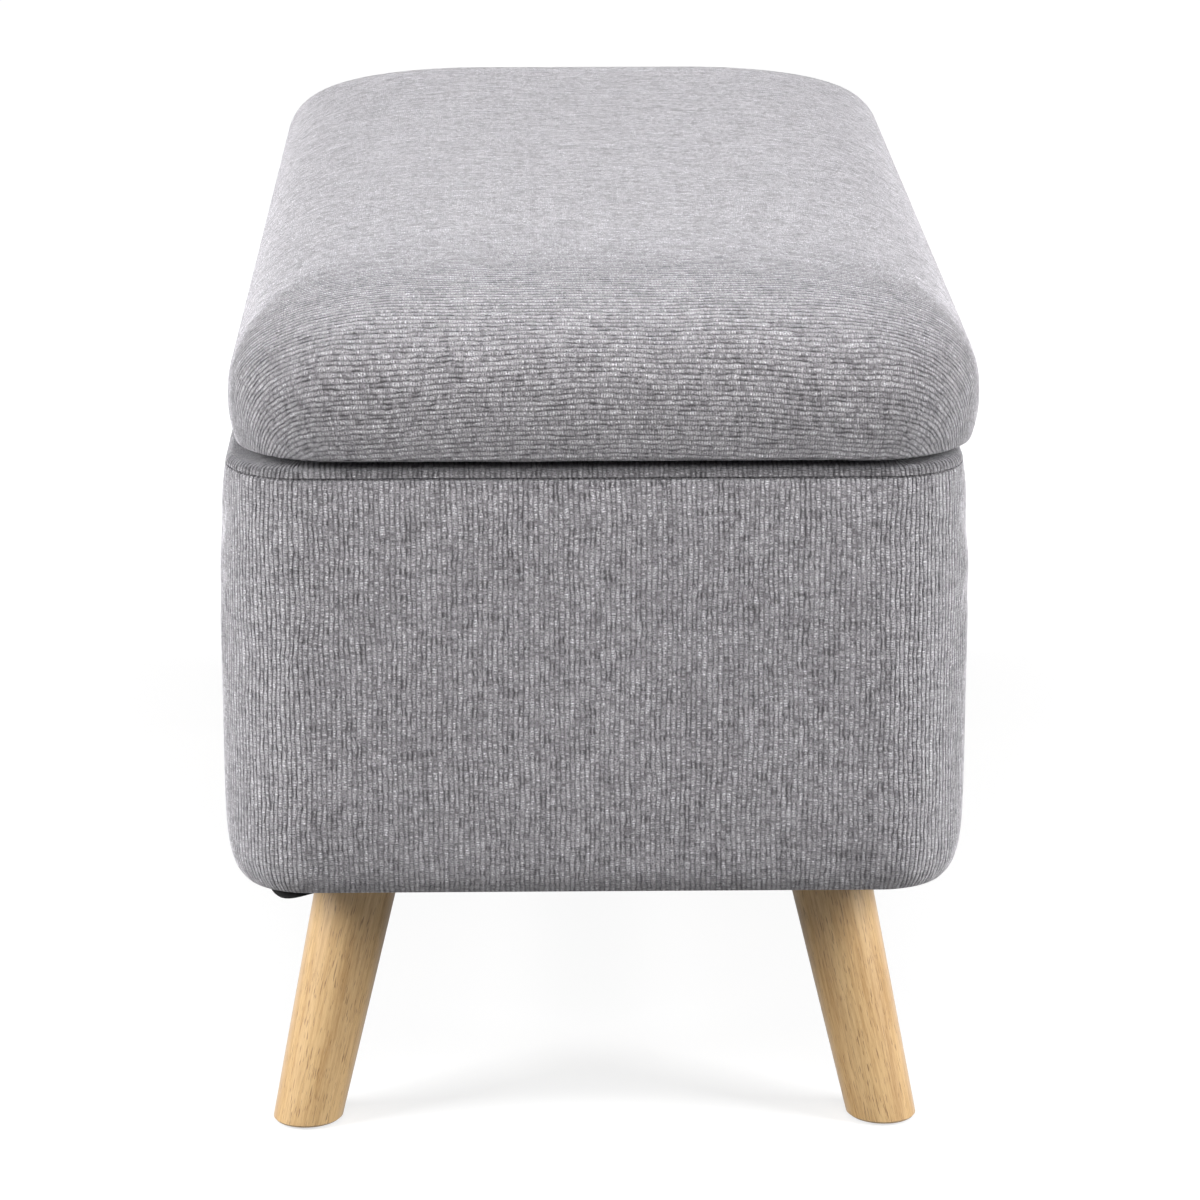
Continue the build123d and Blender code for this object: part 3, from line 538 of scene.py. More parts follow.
box_kinds = ((step >= last_outer) & (step < last_outer + 4)).astype(int)
box_padding = grid_object("box_padding", box_points, uv=box_uv, wrap_rows=True, kinds=box_kinds)
belongs(box_padding, "box", "ribbed_chenille", "box_cover", "box_foam")

# %% [markdown]
# ## The rim band
# Above the seam a second strip of the same cloth goes over the rim and ends inside, over the top of
# the lining. It is a sheet: one skin with a little thickness. It shares the columns of the box.


# %% The rim band
def rim_levels(edge=4.5 * mm, inner=29.7 * mm, edge_rows=7, inside_rows=5):
    """(inset, corner radius, height): from the seam up, round the outer edge, across the rim,
    round the inner edge and down inside, with quarter circles at both edges."""
    top = rim_high.z
    turns = np.radians(np.linspace(0, 90, edge_rows))
    rows = [(rim_tuck + 2.4 * mm, cover_high.z + 0.2 * mm), (rim_tuck + 0.4 * mm, cover_high.z + 0.8 * mm)]
    for turn in turns:
        rows.append((rim_tuck + 0.2 * mm + edge * (1 - math.cos(turn)), top - edge * (1 - math.sin(turn))))
    rows.append(((rim_tuck + inner) / 2, top))
    for turn in turns:
        rows.append((inner - edge * (1 - math.sin(turn)), top - edge * (1 - math.cos(turn))))
    for part in np.linspace(0, 1, inside_rows + 1)[1:]:
        rows.append((inner, top - edge - (top - edge - rim_low.z) * part))
    return [(inset, box_corner - inset, height) for inset, height in rows], len(rows) - inside_rows


levels, first_inside = rim_levels()
rim_points = levels_to_points(levels, *box_plan, slide, normal)
low_edge = bell(rim_points[:, :, 2] - cover_high.z, 3.5 * mm)
wall = (rim_points[:, :, 2] < rim_high.z - 8 * mm) & (np.arange(len(levels)) >= first_inside)[:, None]
slack_wall = wall * (0.15 + 0.15 * ripple(along, box_perimeter, 40, 6)[None]) * mm
rim_points += outward(normal, low_edge * pucker[None] * 0.8 - slack_wall)
down = lengths_round(rim_points[:, 0])[:-1]
rim_uv = cloth_map(down, around + 1.1 * mm)
rim_band = grid_object("rim_band_cloth", rim_points, uv=rim_uv)
thicken(rim_band, 1.2 * mm, -1)
belongs(rim_band, "box", "ribbed_chenille", "rim_band")

# %% [markdown]
# ## Stitches
# The seam is closed with dark grey thread. Each stitch is a short bead of thread that lies in the
# groove of the seam: a spindle of six sides, copied along the outline by adding arrays of places
# and directions.


# %% Stitches along the seam
def spindle(length, radius, sides=6):
    """Rings of points along the first axis with radius x sqrt(1 - s^2), s from -1 to 1."""
    s = np.array([-1, -0.75, 0, 0.75, 1.0])[:, None]
    turn = np.linspace(0, 2 * np.pi, sides, endpoint=False)
    ring = np.sqrt(np.clip(1 - s * s, 0.02, 1)) * radius
    return np.stack(np.broadcast_arrays(s * length / 2, ring * np.cos(turn), ring * np.sin(turn)), 2)


up = np.array([0, 0, 1.0])
seam_level = (rim_tuck + 0.3 * mm, box_corner - rim_tuck, cover_high.z + 0.1 * mm)
seam_row = levels_to_points([seam_level], *box_plan, slide, normal)[0]
places, tangents = evenly_round(seam_row, 3.2 * mm, 0.0)
stitch = spindle(1.7 * mm, 0.42 * mm)
seam_thread = tubes("seam_thread", stitch, places, (tangents, np.cross(tangents, up), up))
belongs(seam_thread, "box", "ribbed_chenille")

# %% [markdown]
# ## Linings and dust cover
# The compartment is lined with thin bonded cloth, charcoal on its floor and walls and under the
# lid. Black cloth of the same kind closes the underside of the box. Each flat one is a set of
# shrinking outlines that meet in a ridge, so its edge can be shaped like any other row. The
# outlines' corners are cut straight where the cloth follows the glue blocks.


# %% Flat sheets
def area_of(points):
    """Area of a grid that closes on itself: half the length of the cross product of each quad's
    diagonals."""
    after = np.roll(points, -1, 1)
    diagonals = np.cross(after[1:] - points[:-1], points[1:] - after[:-1])
    return float(np.linalg.norm(diagonals, axis=2).sum() / 2)


def flat_sheet(node, plan, radius, height, rows, cut, drop):
    """A level sheet of shrinking outlines for a node: inset = half y x depth, radius x (1 - depth).
    drop gives how far each point hangs below the height. Returns its area as well."""
    levels = [(plan[1] * d, radius * (1 - d), height) for d in np.linspace(0, 1, rows)]
    points = levels_to_points(levels, *plan, *columns_round(120, 60, 12, cut=cut))
    points[:, :, 2] -= drop(points[:, :, 0], points[:, :, 1])
    uv = np.concatenate([points[:, :, :2], points[:, :1, :2]], 1)
    made = grid_object(node + "_cloth", points, uv=uv, merge=weld)
    thicken(made, 0.4 * mm)
    return made, area_of(points)


def extent(node, middle):
    """The bottom and top of a flat node and its plan, about a middle y."""
    lower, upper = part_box(node)
    return lower.z, upper.z, (upper.x, (upper.y - lower.y) / 2, middle)


def slack(scale, depth, seed):
    """Shallow unevenness of slack cloth: depth x product of two slow sines, on a turned grid."""
    def drop(x, y):
        a, b = x * 0.8 + y * 0.6, y * 0.8 - x * 0.6
        one = np.sin(a / scale * 6.3 + seed) * np.sin(b / scale * 5.1 + 2 * seed)
        two = np.sin(a / scale * 13.0 + 3 * seed) * np.sin(b / scale * 11.0 + seed)
        return depth * (one + 0.5 * two)
    return drop


bottom, top, floor_plan = extent("floor_lining", box_middle)
floor_drop = slack(0.16, 0.16 * mm, 1)
floor_sheet, area = flat_sheet(
    "floor_lining", floor_plan, 17.9 * mm, (bottom + top) / 2, 31, True, floor_drop
)
belongs(floor_sheet, "box", "lining_cloth", "floor_lining")
2 * floor_plan[0]
2 * floor_plan[1]

under_bottom, _, under_plan = extent("lid_lining", lid_middle)
lid_drop = slack(0.2, 0.15 * mm, 2)
lid_sheet, area = flat_sheet(
    "lid_lining", under_plan, 45 * mm, under_bottom + 0.35 * mm, 31, False, lid_drop
)
belongs(lid_sheet, "lid", "lining_cloth", "lid_lining")
2 * under_plan[0]
2 * under_plan[1]

# %% [markdown]
# The dust cover is stapled near its edge. It sags a little between the leg plates, and one corner
# at the back has come loose and hangs down below the box's edge.

# %% The dust cover
dust_bottom, dust_top, dust_plan = extent("dust_cover", box_middle)
dust_half_x, dust_half_y, _ = dust_plan
plates_low, plates_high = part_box("leg_plates")
plate_half = 35 * mm
plate_x = plates_high.x - plate_half
plate_y = (plates_high.y - plates_low.y) / 2 - plate_half


def from_loose_corner(x, y):
    """Distance from the corner at the back that has come loose."""
    return np.hypot(x + dust_half_x, y - box_middle - dust_half_y)


def dust_drop(x, y):
    """Sag x distance from edges and plates, plus the loose corner's hang."""
    side_x = smooth(dust_half_x - np.abs(x), 5 * mm, 60 * mm)
    side_y = smooth(dust_half_y - np.abs(y - box_middle), 5 * mm, 60 * mm)
    off_plate = np.maximum(np.abs(np.abs(x) - plate_x), np.abs(np.abs(y - box_middle) - plate_y))
    clear = smooth(off_plate, plate_half + 4 * mm, plate_half + 45 * mm)
    sag = slack(0.3, 0.5 * mm, 3)(x, y) + 1.6 * mm
    off_corner = smooth(off_plate, plate_half + 1 * mm, plate_half + 12 * mm)
    hang = 9.5 * mm * bell(from_loose_corner(x, y), 24 * mm) * off_corner
    return side_x * side_y * clear * sag + hang


dust_sheet, area = flat_sheet("dust_cover", dust_plan, 24 * mm, dust_top - 0.3 * mm, 61, False, dust_drop)
belongs(dust_sheet, "box", "dust_cloth", "dust_cover")
2 * dust_half_x
2 * dust_half_y
min(area, 4 * dust_half_x * dust_half_y)

# %% The wall lining
wall_low, wall_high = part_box("wall_lining")
slide, normal = columns_round(160, 80, 6, cut=True)
wall_level = (box_half_x - wall_high.x + 0.3 * mm, 17.7 * mm)
heights = np.linspace(wall_low.z, wall_high.z, 25)
points = levels_to_points([(*wall_level, z) for z in heights], *box_plan, slide, normal)
lining_around = lengths_round(points[0])
share = ((heights - wall_low.z) / (wall_high.z - wall_low.z))[:, None]
free = np.sin(np.pi * share) * smooth(np.abs(normal[None, :, 1]), 0.2, 0.9)
wave = ripple(lining_around[:-1], lining_around[-1], 9, 2)[None]
wave = wave + 0.4 * np.sin(share * 9 + lining_around[None, :-1] * 11)
points -= outward(normal, np.maximum(0.8 + wave, 0) * free * 0.9 * mm)
down = heights - heights[0]
wall_sheet = grid_object("wall_lining_cloth", points, uv=cloth_map(down, lining_around), flip=True)
thicken(wall_sheet, 0.4 * mm)
belongs(wall_sheet, "box", "lining_cloth", "wall_lining")

# %% [markdown]
# ## Staples
# Upholstery staples hold the dust cover and the lid's lining. A staple is wire of a flat section,
# carried along a path with two bends: leg, crown, leg. Its path is turned to the edge by two
# directions, so one array of paths makes them all.


# %% Staples
def staple_wire():
    """Flat wire along leg, crown and leg: each point of the path plus the wire's section, which is
    turned across the path's own direction."""
    path = np.array([[-4.9, 1.2], [-4.9, 0.25], [-4.65, 0.0], [4.65, 0.0], [4.9, 0.25], [4.9, 1.2]])
    section = np.array([[0, -0.55], [0.28, -0.45], [0.28, 0.45], [0, 0.55], [-0.28, 0.45], [-0.28, -0.45]])
    step = np.gradient(path, axis=0)
    step /= np.linalg.norm(step, axis=1, keepdims=True)
    across = np.stack([step[:, 1], -step[:, 0]], 1)
    bent = path[:, None] + across[:, None] * section[None, :, :1]
    sideways = np.broadcast_to(section[None, :, 1:], (len(path), len(section), 1))
    return np.concatenate([bent, sideways], 2) * mm


def staples(name, places, tangents):
    """Staples with their crowns along the tangents and their legs up."""
    return tubes(name, staple_wire(), places, (tangents, up, np.cross(tangents, up)), rounded=False)


def edge_of(plan, inset, radius, height, pitch):
    """Places for staples and their tangents, inset from a sheet's edge."""
    row = levels_to_points([(inset, radius, height)], *plan, *columns_round(80, 40, 10))[0]
    return evenly_round(row, pitch, 0.5)


where, ways = edge_of(dust_plan, 7 * mm, 18 * mm, dust_bottom - 0.15 * mm, 55 * mm)
fixed = from_loose_corner(where[:, 0], where[:, 1]) >= 45 * mm
dust_staples = staples("dust_cover_staples", where[fixed], ways[fixed])
belongs(dust_staples, "box", "zinc_steel")

where, ways = edge_of(under_plan, 6 * mm, 40 * mm, under_bottom - 0.1 * mm, 50 * mm)
lid_staples = staples("lid_lining_staples", where, ways)
belongs(lid_staples, "lid", "zinc_steel")

# %% [markdown]
# ## Screws
# Each screw has a countersunk head with a cross recess, a core and a thread that runs out at the
# tip. It is a surface turned about its axis: radius = core + thread depth x the share of the way
# round a turn, where the turn climbs with the angle. The recess is a drop of the head's face where
# the place lies within either arm of the cross. The screws' places are read from the CAD node that
# holds them, so that nothing about their places is typed twice.


# %% Screws
def heads_in(node, axis, way):
    """The middle of the head of each screw in a node, and the direction it points in: along the
    axis by way, or away from the object's middle where way is 0. Points nearer than 9 mm across
    the axis, on one side of the middle, are one screw."""
    left = np.array([v.co for v in nodes[node].data.vertices])
    across = [k for k in range(3) if k != axis]
    places, ways = [], []
    while len(left):
        near = np.linalg.norm(left[:, across] - left[0, across], axis=1) < 9 * mm
        near &= np.sign(left[:, axis]) == np.sign(left[0, axis])
        group, left = left[near], left[~near]
        spot = (group.min(0) + group.max(0)) / 2
        forward = way or np.sign(spot[axis])
        spot[axis] = group[:, axis].min() if forward > 0 else group[:, axis].max()
        places.append(spot)
        ways.append(forward * np.eye(3)[axis])
    return np.array(places), np.array(ways)


def screws(name, places, into, radius, head, sink, length, pitch, sides=24):
    """Screws with their heads at places, pointing along into. Radius, head radius, depth of the
    head, length and pitch are in metres."""
    turn = np.linspace(0, 2 * np.pi, sides, endpoint=False)
    face = np.array([0, 0.12, 0.24, 0.34, 0.44, 0.54, 0.66, 0.8, 0.94]) * head
    x, y = face[:, None] * np.cos(turn), face[:, None] * np.sin(turn)
    arm = np.minimum(np.abs(x), np.abs(y))
    reach = np.maximum(np.abs(x), np.abs(y))
    recess = smooth(-arm, -0.22 * head, -0.12 * head) * smooth(-reach, -0.6 * head, -0.45 * head)
    rings = [*zip(face, recess * 0.35 * sink + 0.02 * mm), (head, 0.12 * mm), (radius * 0.8, sink)]
    for z in np.linspace(sink + 0.3 * mm, length, int((length - sink) / pitch * 4)):
        climb = (z / pitch - turn / (2 * np.pi)) % 1
        end = min(1.0, (length - z) / (2.2 * mm))
        start = min(1.0, (z - sink) / (1.2 * mm))
        thread = 0.24 * (1 - np.abs(2 * climb - 1)) * start
        rings.append((radius * (0.74 + thread) * max(end, 0.0) ** 0.7, z))
    r, z = (np.array([np.broadcast_to(v, sides) for v in part]) for part in zip(*rings))
    side = np.where(np.abs(into[:, :1]) < 0.5, [[1.0, 0, 0]], [[0, 1.0, 0]])
    angle = 0.6 + 2.4 * np.arange(len(places))[:, None]
    ahead = np.cos(angle) * side + np.sin(angle) * np.cross(into, side)
    local = np.stack([r * np.cos(turn), r * np.sin(turn), z], 2)
    axes = (ahead, np.cross(into, ahead), into)
    return tubes(name, local, places, axes, capped=False, merge=0.01 * mm)


# %% Every kind of screw
shank, wide = (1.7 * mm, 3.4 * mm), 1.4 * mm
screw_kinds = [
    ("hinge_box_screws", "box", 2, -1, *shank, 1.2 * mm, 11 * mm, wide),
    ("hinge_lid_screws", "lid", 2, 1, *shank, 1.2 * mm, 11 * mm, wide),
    ("plate_screws", "box", 2, 1, *shank, 2.5 * mm, 13 * mm, wide),
    ("stay_lid_screws", "lid", 2, 1, *shank, 1.5 * mm, 9 * mm, wide),
    ("stay_wall_screws", "box", 0, 0, *shank, 1.5 * mm, 9 * mm, wide),
    ("base_screws", "box", 2, 1, 2.0 * mm, 1.95 * mm, 0.4 * mm, 41.5 * mm, 2.2 * mm),
]
screw_pieces = []
for node, body, axis, way, *sizes in screw_kinds:
    piece = screws(node[:-1] + "_set", *heads_in(node, axis, way), *sizes)
    belongs(piece, body, "zinc_steel", node)
    screw_pieces.append(piece)

# %% [markdown]
# ## Helpers for materials
# A material is a small graph of nodes. A number that varies over the surface is kept as a Field, so
# that a pattern can be written like a formula: adding or multiplying fields adds Math nodes. The
# other helpers add one node each and find the graph through the fields that they are given.


# %% Fields and nodes
class Field:
    """The output of a node. Arithmetic on it gives another field."""

    def __init__(self, socket):
        self.socket = socket

    def __add__(self, other):
        return maths("ADD", self, other)

    def __sub__(self, other):
        return maths("SUBTRACT", self, other)

    def __rsub__(self, other):
        return maths("SUBTRACT", other, self)

    def __mul__(self, other):
        return maths("MULTIPLY", self, other)

    def __truediv__(self, other):
        return maths("DIVIDE", self, other)

    def __pow__(self, power):
        return maths("POWER", self, power)


def connect(socket, value):
    """Links a field to a socket, or sets the socket to a constant."""
    if isinstance(value, Field):
        socket.id_data.links.new(value.socket, socket)
    else:
        socket.default_value = value


def add(tree, kind, sockets=None, out=0, **settings):
    """One output of a new node as a field. tree may be given as any field in it."""
    tree = tree.socket.id_data if isinstance(tree, Field) else tree
    made = tree.nodes.new("ShaderNode" + kind)
    for key, value in settings.items():
        setattr(made, key, value)
    for key, value in (sockets or {}).items():
        connect(made.inputs[key], value)
    return Field(made.outputs[out])


def graph_of(*values):
    """The first field among some values, for the graph it is in."""
    return next(value for value in values if isinstance(value, Field))


def maths(operation, *values):
    """The result of one operation on numbers, of which one at least is a field."""
    return add(graph_of(*values), "Math", dict(enumerate(values)), operation=operation)


def most(*values):
    """The largest of some fields."""
    first, *rest = values
    for value in rest:
        first = maths("MAXIMUM", first, value)
    return first


def place_of(x, y, z=0.0):
    """A vector from three numbers."""
    return add(graph_of(x, y, z), "CombineXYZ", {"X": x, "Y": y, "Z": z})


def parts_of(vector):
    """The three numbers of a vector."""
    x = add(vector, "SeparateXYZ", {"Vector": vector})
    return [Field(socket) for socket in x.socket.node.outputs]


def blend(share, a, b, mode="MIX"):
    """Colour a turning into b by share."""
    sockets = {0: share, 6: a, 7: b}
    return add(graph_of(share, a, b), "Mix", sockets, out=2, data_type="RGBA", blend_type=mode)


def toned(colour, tone):
    """A colour multiplied by a number."""
    return blend(1.0, colour, place_of(tone, tone, tone), "MULTIPLY")


def span(value, a, b, low=0.0, high=1.0):
    """value from a to b becomes low to high, with a smooth turn and no overshoot."""
    sockets = {"Value": value, "From Min": a, "From Max": b, "To Min": low, "To Max": high}
    return add(value, "MapRange", sockets, interpolation_type="SMOOTHSTEP")


def noise(vector, scale, detail=2.0, roughness=0.5):
    """Noise from 0 to 1 at a place, with scale features to the unit."""
    sockets = {"Vector": vector, "Scale": scale, "Detail": detail, "Roughness": roughness}
    return add(vector, "TexNoise", sockets)


def patches(u, v, across, along, shift, detail, roughness=0.5):
    """Noise over two numbers, stretched by a factor each way. shift picks the pattern."""
    return noise(place_of(u * across, v * along, shift), 1.0, detail, roughness)


def object_place(tree):
    """The place on the object, in metres."""
    return add(tree, "TexCoord", out="Object")


def cloth_place(tree):
    """The place on the cloth's own map, in metres."""
    return add(tree, "UVMap", uv_map="cloth")


def turned_away(tree):
    """0 where the surface faces the eye, 1 where it is seen edge on."""
    return add(tree, "LayerWeight", {"Blend": 0.5}, out="Facing")


# %% Groups and materials
def effect(name, **inputs):
    """A shader group and its inputs as fields, by the kind of each. It puts out a Color, a Height
    and a Roughness."""
    group = bpy.data.node_groups.new(name, "ShaderNodeTree")
    for label, kind in inputs.items():
        group.interface.new_socket(name=label, in_out="INPUT", socket_type="NodeSocket" + kind)
    for label, kind in (("Color", "Color"), ("Height", "Float"), ("Roughness", "Float")):
        group.interface.new_socket(name=label, in_out="OUTPUT", socket_type="NodeSocket" + kind)
    given = group.nodes.new("NodeGroupInput").outputs
    return group, {label: Field(given[label]) for label in inputs}


def give_out(group, colour, height, roughness):
    """Connects what a group puts out."""
    result = group.nodes.new("NodeGroupOutput").inputs
    for label, value in (("Color", colour), ("Height", height), ("Roughness", roughness)):
        connect(result[label], value)
    print(f"{group.name}: {len(group.nodes)} nodes")


def use(tree, group, **sockets):
    """Colour, height and roughness from a group placed in a material."""
    made = tree.nodes.new("ShaderNodeGroup")
    made.node_tree = group
    for key, value in sockets.items():
        connect(made.inputs[key], value)
    return [Field(made.outputs[key]) for key in ("Color", "Height", "Roughness")]


def material(name):
    """A new material with an empty Principled shader, and its graph."""
    made = bpy.data.materials.new(name)
    made.use_nodes = True
    return made, made.node_tree


def finish(made, colour, roughness, height=None, strength=0.0, depth=0.0, **constants):
    """Fills a material's shader: its colour and roughness, a bump of the height with a strength
    and a depth in metres, and constants by socket name, with _ for a space."""
    tree = made.node_tree
    sockets = tree.nodes["Principled BSDF"].inputs
    connect(sockets["Base Color"], colour)
    connect(sockets["Roughness"], roughness)
    if height is not None:
        bump = {"Strength": strength, "Distance": depth, "Height": height}
        connect(sockets["Normal"], add(tree, "Bump", bump))
    for key, value in constants.items():
        sockets[key.replace("_", " ")].default_value = value
    print(f"{made.name}: {len(tree.nodes)} nodes")
    return made


def dress(name, cover):
    """Gives a CAD node its material."""
    nodes[name].data.materials.clear()
    nodes[name].data.materials.append(cover)


# %% [markdown]
# ## Ribbed chenille
# Chenille yarn lies in ribs 2.7 mm apart, and thin threads tie it down every 1.35 mm, so the cloth is
# a field of small tufts. No two tufts are alike: each gets its own lightness and height from white
# noise on the number of its rib and row. Along a rib, short dark gaps and slits show where the pile
# parts. The pattern reads the cloth's own map, whose first number runs across the ribs, so the ribs
# follow the sheet over edges and gather at the corners. Where the cloth turns away from the eye, its
# colour is painted paler, a painted sheen on top of the shader's own sheen. On the rim band the colour
# is also darkened under the lid: painted shade.

# %% Group: ribs of pile
ribs, given = effect(
    "ribs of pile", Cloth="Vector", Width="Float", Tuft="Float", Pile="Color", Gap="Color", Fleck="Color"
)


def hump(value, power):
    """Rounded hump between two whole numbers: sin(pi x fraction) to a power."""
    return maths("SINE", maths("FRACT", value) * math.pi) ** power


across, along, _ = (part * 1000.0 for part in parts_of(given["Cloth"]))
wander = patches(across, along, 0.03, 0.02, 0.0, 1.0) * 3.6
wander = wander + patches(across, along, 0.3, 0.12, 4.0, 1.0) * 2.0
phase = (across + wander) / given["Width"]
number = maths("FLOOR", phase)
ridge = hump(phase, 0.95)
valley = 1.0 - ridge
drift = patches(across, along, 0.25, 0.05, 2.0, 1.0)
start = add(ribs, "TexWhiteNoise", {"Vector": place_of(number, 0.5)}, out="Value")
beat = (drift * 1.6 + along) / given["Tuft"] + start
bead = hump(beat, 1.0)
lots = parts_of(add(ribs, "TexWhiteNoise", {"Vector": place_of(number, maths("FLOOR", beat))}, out="Color"))

own = 7.31
whole = span(patches(number, along, own, 0.1, 0.0, 1.0), 0.36, 0.62)
dash = span(patches(number, along, own, 0.17, 9.0, 3.0), 0.44, 0.58)
streak = patches(number, along, own, 0.05, 5.0, 2.0)
fibres = patches(across, along, 1.1, 1.3, 0.0, 3.0, 0.8)
mottle = patches(across, along, 0.13, 0.035, 7.0, 3.0, 0.6)

slit = span(patches(number, along, own, 0.13, 3.0, 2.0), 0.56, 0.64) * valley**0.35
tie = (1.0 - bead) * (lots[1] * 0.5 + 0.05)
low_tuft = span(lots[0], 0.45, 0.0, 0.0, 0.6)
parted = span(fibres, 0.53, 0.36, 0.0, 1.0)
dark = most(valley**0.9 * dash, valley * 0.5, tie, low_tuft, slit, parted)
light = span(lots[0], 0.2, 1.0, 0.35, 1.0) * span(fibres, 0.42, 0.58, 0.1, 1.0)
light = light * (whole * 0.7 + 0.5) * (bead * ridge**2.0) * (1.0 - slit)
colour = blend(light, blend(dark, given["Pile"], given["Gap"]), given["Fleck"])
tone = span(mottle, 0.3, 0.7, -0.07, 0.07) + span(streak, 0.3, 0.7, 0.9, 1.16)
tall = ridge * (whole * 0.55 + 0.45)
tall = tall + bead * 0.3 + lots[2] * 0.4 + fibres * 1.1 + streak * 0.4 + mottle * 0.3
give_out(ribs, toned(colour, tone), tall, span(fibres, 0.3, 0.7, 0.95, 0.8))


# %% Material: chenille
def chenille(name, painted_lid_shade_share=0.0):
    """Chenille, painted paler where it turns away from the eye: a painted sheen. The second argument is
    the share by which its colour is darkened from just above the seam up, under the lid: painted shade."""
    made, tree = material(name)
    height = parts_of(object_place(tree))[2]
    # painted shade under the lid: the colour darkens from 1 mm to 4.5 mm above the seam
    painted_lid_shade = span(height, cover_high.z + 1.0 * mm, cover_high.z + 4.5 * mm, 1.0 - painted_lid_shade_share * 0.4, 1.0 - painted_lid_shade_share)
    colour, tall, roughness = use(
        tree, ribs, Cloth=cloth_place(tree), Width=2.7, Tuft=1.35,
        Pile=(0.45, 0.431, 0.455, 1), Gap=(0.04, 0.036, 0.04, 1), Fleck=(0.95, 0.94, 0.97, 1),
    )
    # painted sheen: the colour grows paler where the cloth is seen edge on
    painted_sheen = span(turned_away(tree), 0.65, 0.95, 1.0, 1.9)
    return finish(
        made, toned(colour, painted_sheen * painted_lid_shade), roughness, tall, 1.0, 1.1 * mm,
        Specular_IOR_Level=0.2, Sheen_Weight=0.6, Sheen_Roughness=0.38, Sheen_Tint=(0.95, 0.95, 1.0, 1),
    )


ribbed_chenille = chenille("ribbed_chenille")
for piece in (lid_cushion, box_padding):
    piece.data.materials.append(ribbed_chenille)
# the rim band's copy of the chenille carries painted shade under the lid
rim_band.data.materials.append(chenille("chenille_of_the_rim_painted_shade", painted_lid_shade_share=0.48))

# %% Material: seam thread
thread, tree = material("seam_thread")
shade = span(noise(object_place(tree), 900.0), 0.3, 0.7)
seam_thread.data.materials.append(
    finish(thread, blend(shade, (0.09, 0.085, 0.09, 1), (0.24, 0.23, 0.245, 1)), 0.7)
)

# %% [markdown]
# ## Leg wood
# The legs are turned from pale hardwood with straight grain and a clear satin lacquer. Grain runs
# along each leg, so a Mapping node turns the pattern to the leg's own lean. Long soft streaks come
# from noise stretched along the grain, and the pores are short dark dashes.

# %% Group: straight grain
grain, given = effect(
    "straight grain", Place="Vector", Light="Color", Dark="Color", Pore="Color", Pores="Float"
)
x, y, z = (part * 1000.0 for part in parts_of(given["Place"]))
broad, streak, fibre, pore = (
    noise(place_of(x * across, y * across, z * along), 1.0, detail, roughness)
    for across, along, detail, roughness in (
        (0.12, 0.008, 2.0, 0.5), (0.75, 0.014, 3.0, 0.6), (3.4, 0.09, 2.0, 0.5), (1.7, 0.12, 1.0, 0.5),
    )
)
pore = span(pore, 0.62, 0.7) * given["Pores"]
share = span(broad, 0.35, 0.7) * 0.4 + span(streak, 0.42, 0.62) * 0.35 + span(fibre, 0.4, 0.65) * 0.3
colour = blend(pore * 0.75, blend(share, given["Light"], given["Dark"]), given["Pore"])
give_out(grain, colour, fibre * 0.25 - pore, fibre * 0.12 + 0.3)

# %% Material: one for each leg
lean = math.radians(12.4)
for name, side_x, side_y in (
    ("leg_front_left", -1, -1), ("leg_front_right", 1, -1),
    ("leg_back_left", -1, 1), ("leg_back_right", 1, 1),
):
    leg_wood, tree = material(name + "_wood")
    turned = add(tree, "Mapping", {
        "Vector": object_place(tree),
        "Location": (0.37 * side_x, 0.21 * side_y, 0.0),
        "Rotation": (-side_y * lean, side_x * lean, 0.7 * side_x * side_y),
    })
    colour, tall, roughness = use(
        tree, grain, Place=turned, Light=(0.64, 0.435, 0.215, 1), Dark=(0.38, 0.215, 0.077, 1),
        Pore=(0.18, 0.09, 0.035, 1), Pores=1.0,
    )
    # painted reflection: the wood's colour turns pale towards the edges, where the leg is seen edge on
    edge = span(turned_away(tree), 0.35, 1.0, 0.0, 0.75)
    dress(name, finish(
        leg_wood, blend(edge, colour, (0.77, 0.58, 0.4, 1)), roughness, tall, 0.5, 0.1 * mm,
        Coat_Weight=0.35, Coat_Roughness=0.18,
    ))

# %% [markdown]
# ## Boards and blocks
# The hidden boards are plywood: a face veneer with lively grain, and on the edges thin plies whose
# grain turns with each layer. The same grain group serves, fed with a place whose axes are changed
# about so that the grain runs along the board. A second pattern in the thickness gives the plies.


# %% Material: plywood
def plywood(name, along, through, ply=4.8 * mm):
    """Plywood with its grain along one axis (0 to 2) and its plies stacked through another. ply is
    the thickness of a dark and a light one."""
    made, tree = material(name)
    spot = parts_of(object_place(tree))
    across = [part for axis, part in enumerate(spot) if axis != along]
    colour, tall, roughness = use(
        tree, grain, Place=place_of(*across, spot[along]), Light=(0.66, 0.49, 0.31, 1),
        Dark=(0.5, 0.34, 0.19, 1), Pore=(0.3, 0.19, 0.1, 1), Pores=0.5,
    )
    layer = maths("PINGPONG", maths("FRACT", spot[through] * (1 / ply)), 0.5)
    colour = blend(span(layer, 0.22, 0.28) * 0.45, colour, (0.4, 0.26, 0.14, 1))
    return finish(made, colour, roughness, tall, 0.6, 0.15 * mm, Specular_IOR_Level=0.3)


for label, along, through, names in (
    ("level", 0, 2, ("base_board", "lid_board")),
    ("long_side", 0, 1, ("front_panel", "back_panel")),
    ("end", 1, 0, ("left_panel", "right_panel")),
    ("bent", 2, 0, [f"corner_{end}_{side}" for end in ("front", "back") for side in ("left", "right")]),
):
    board = plywood("plywood_" + label, along, through)
    for name in names:
        dress(name, board)

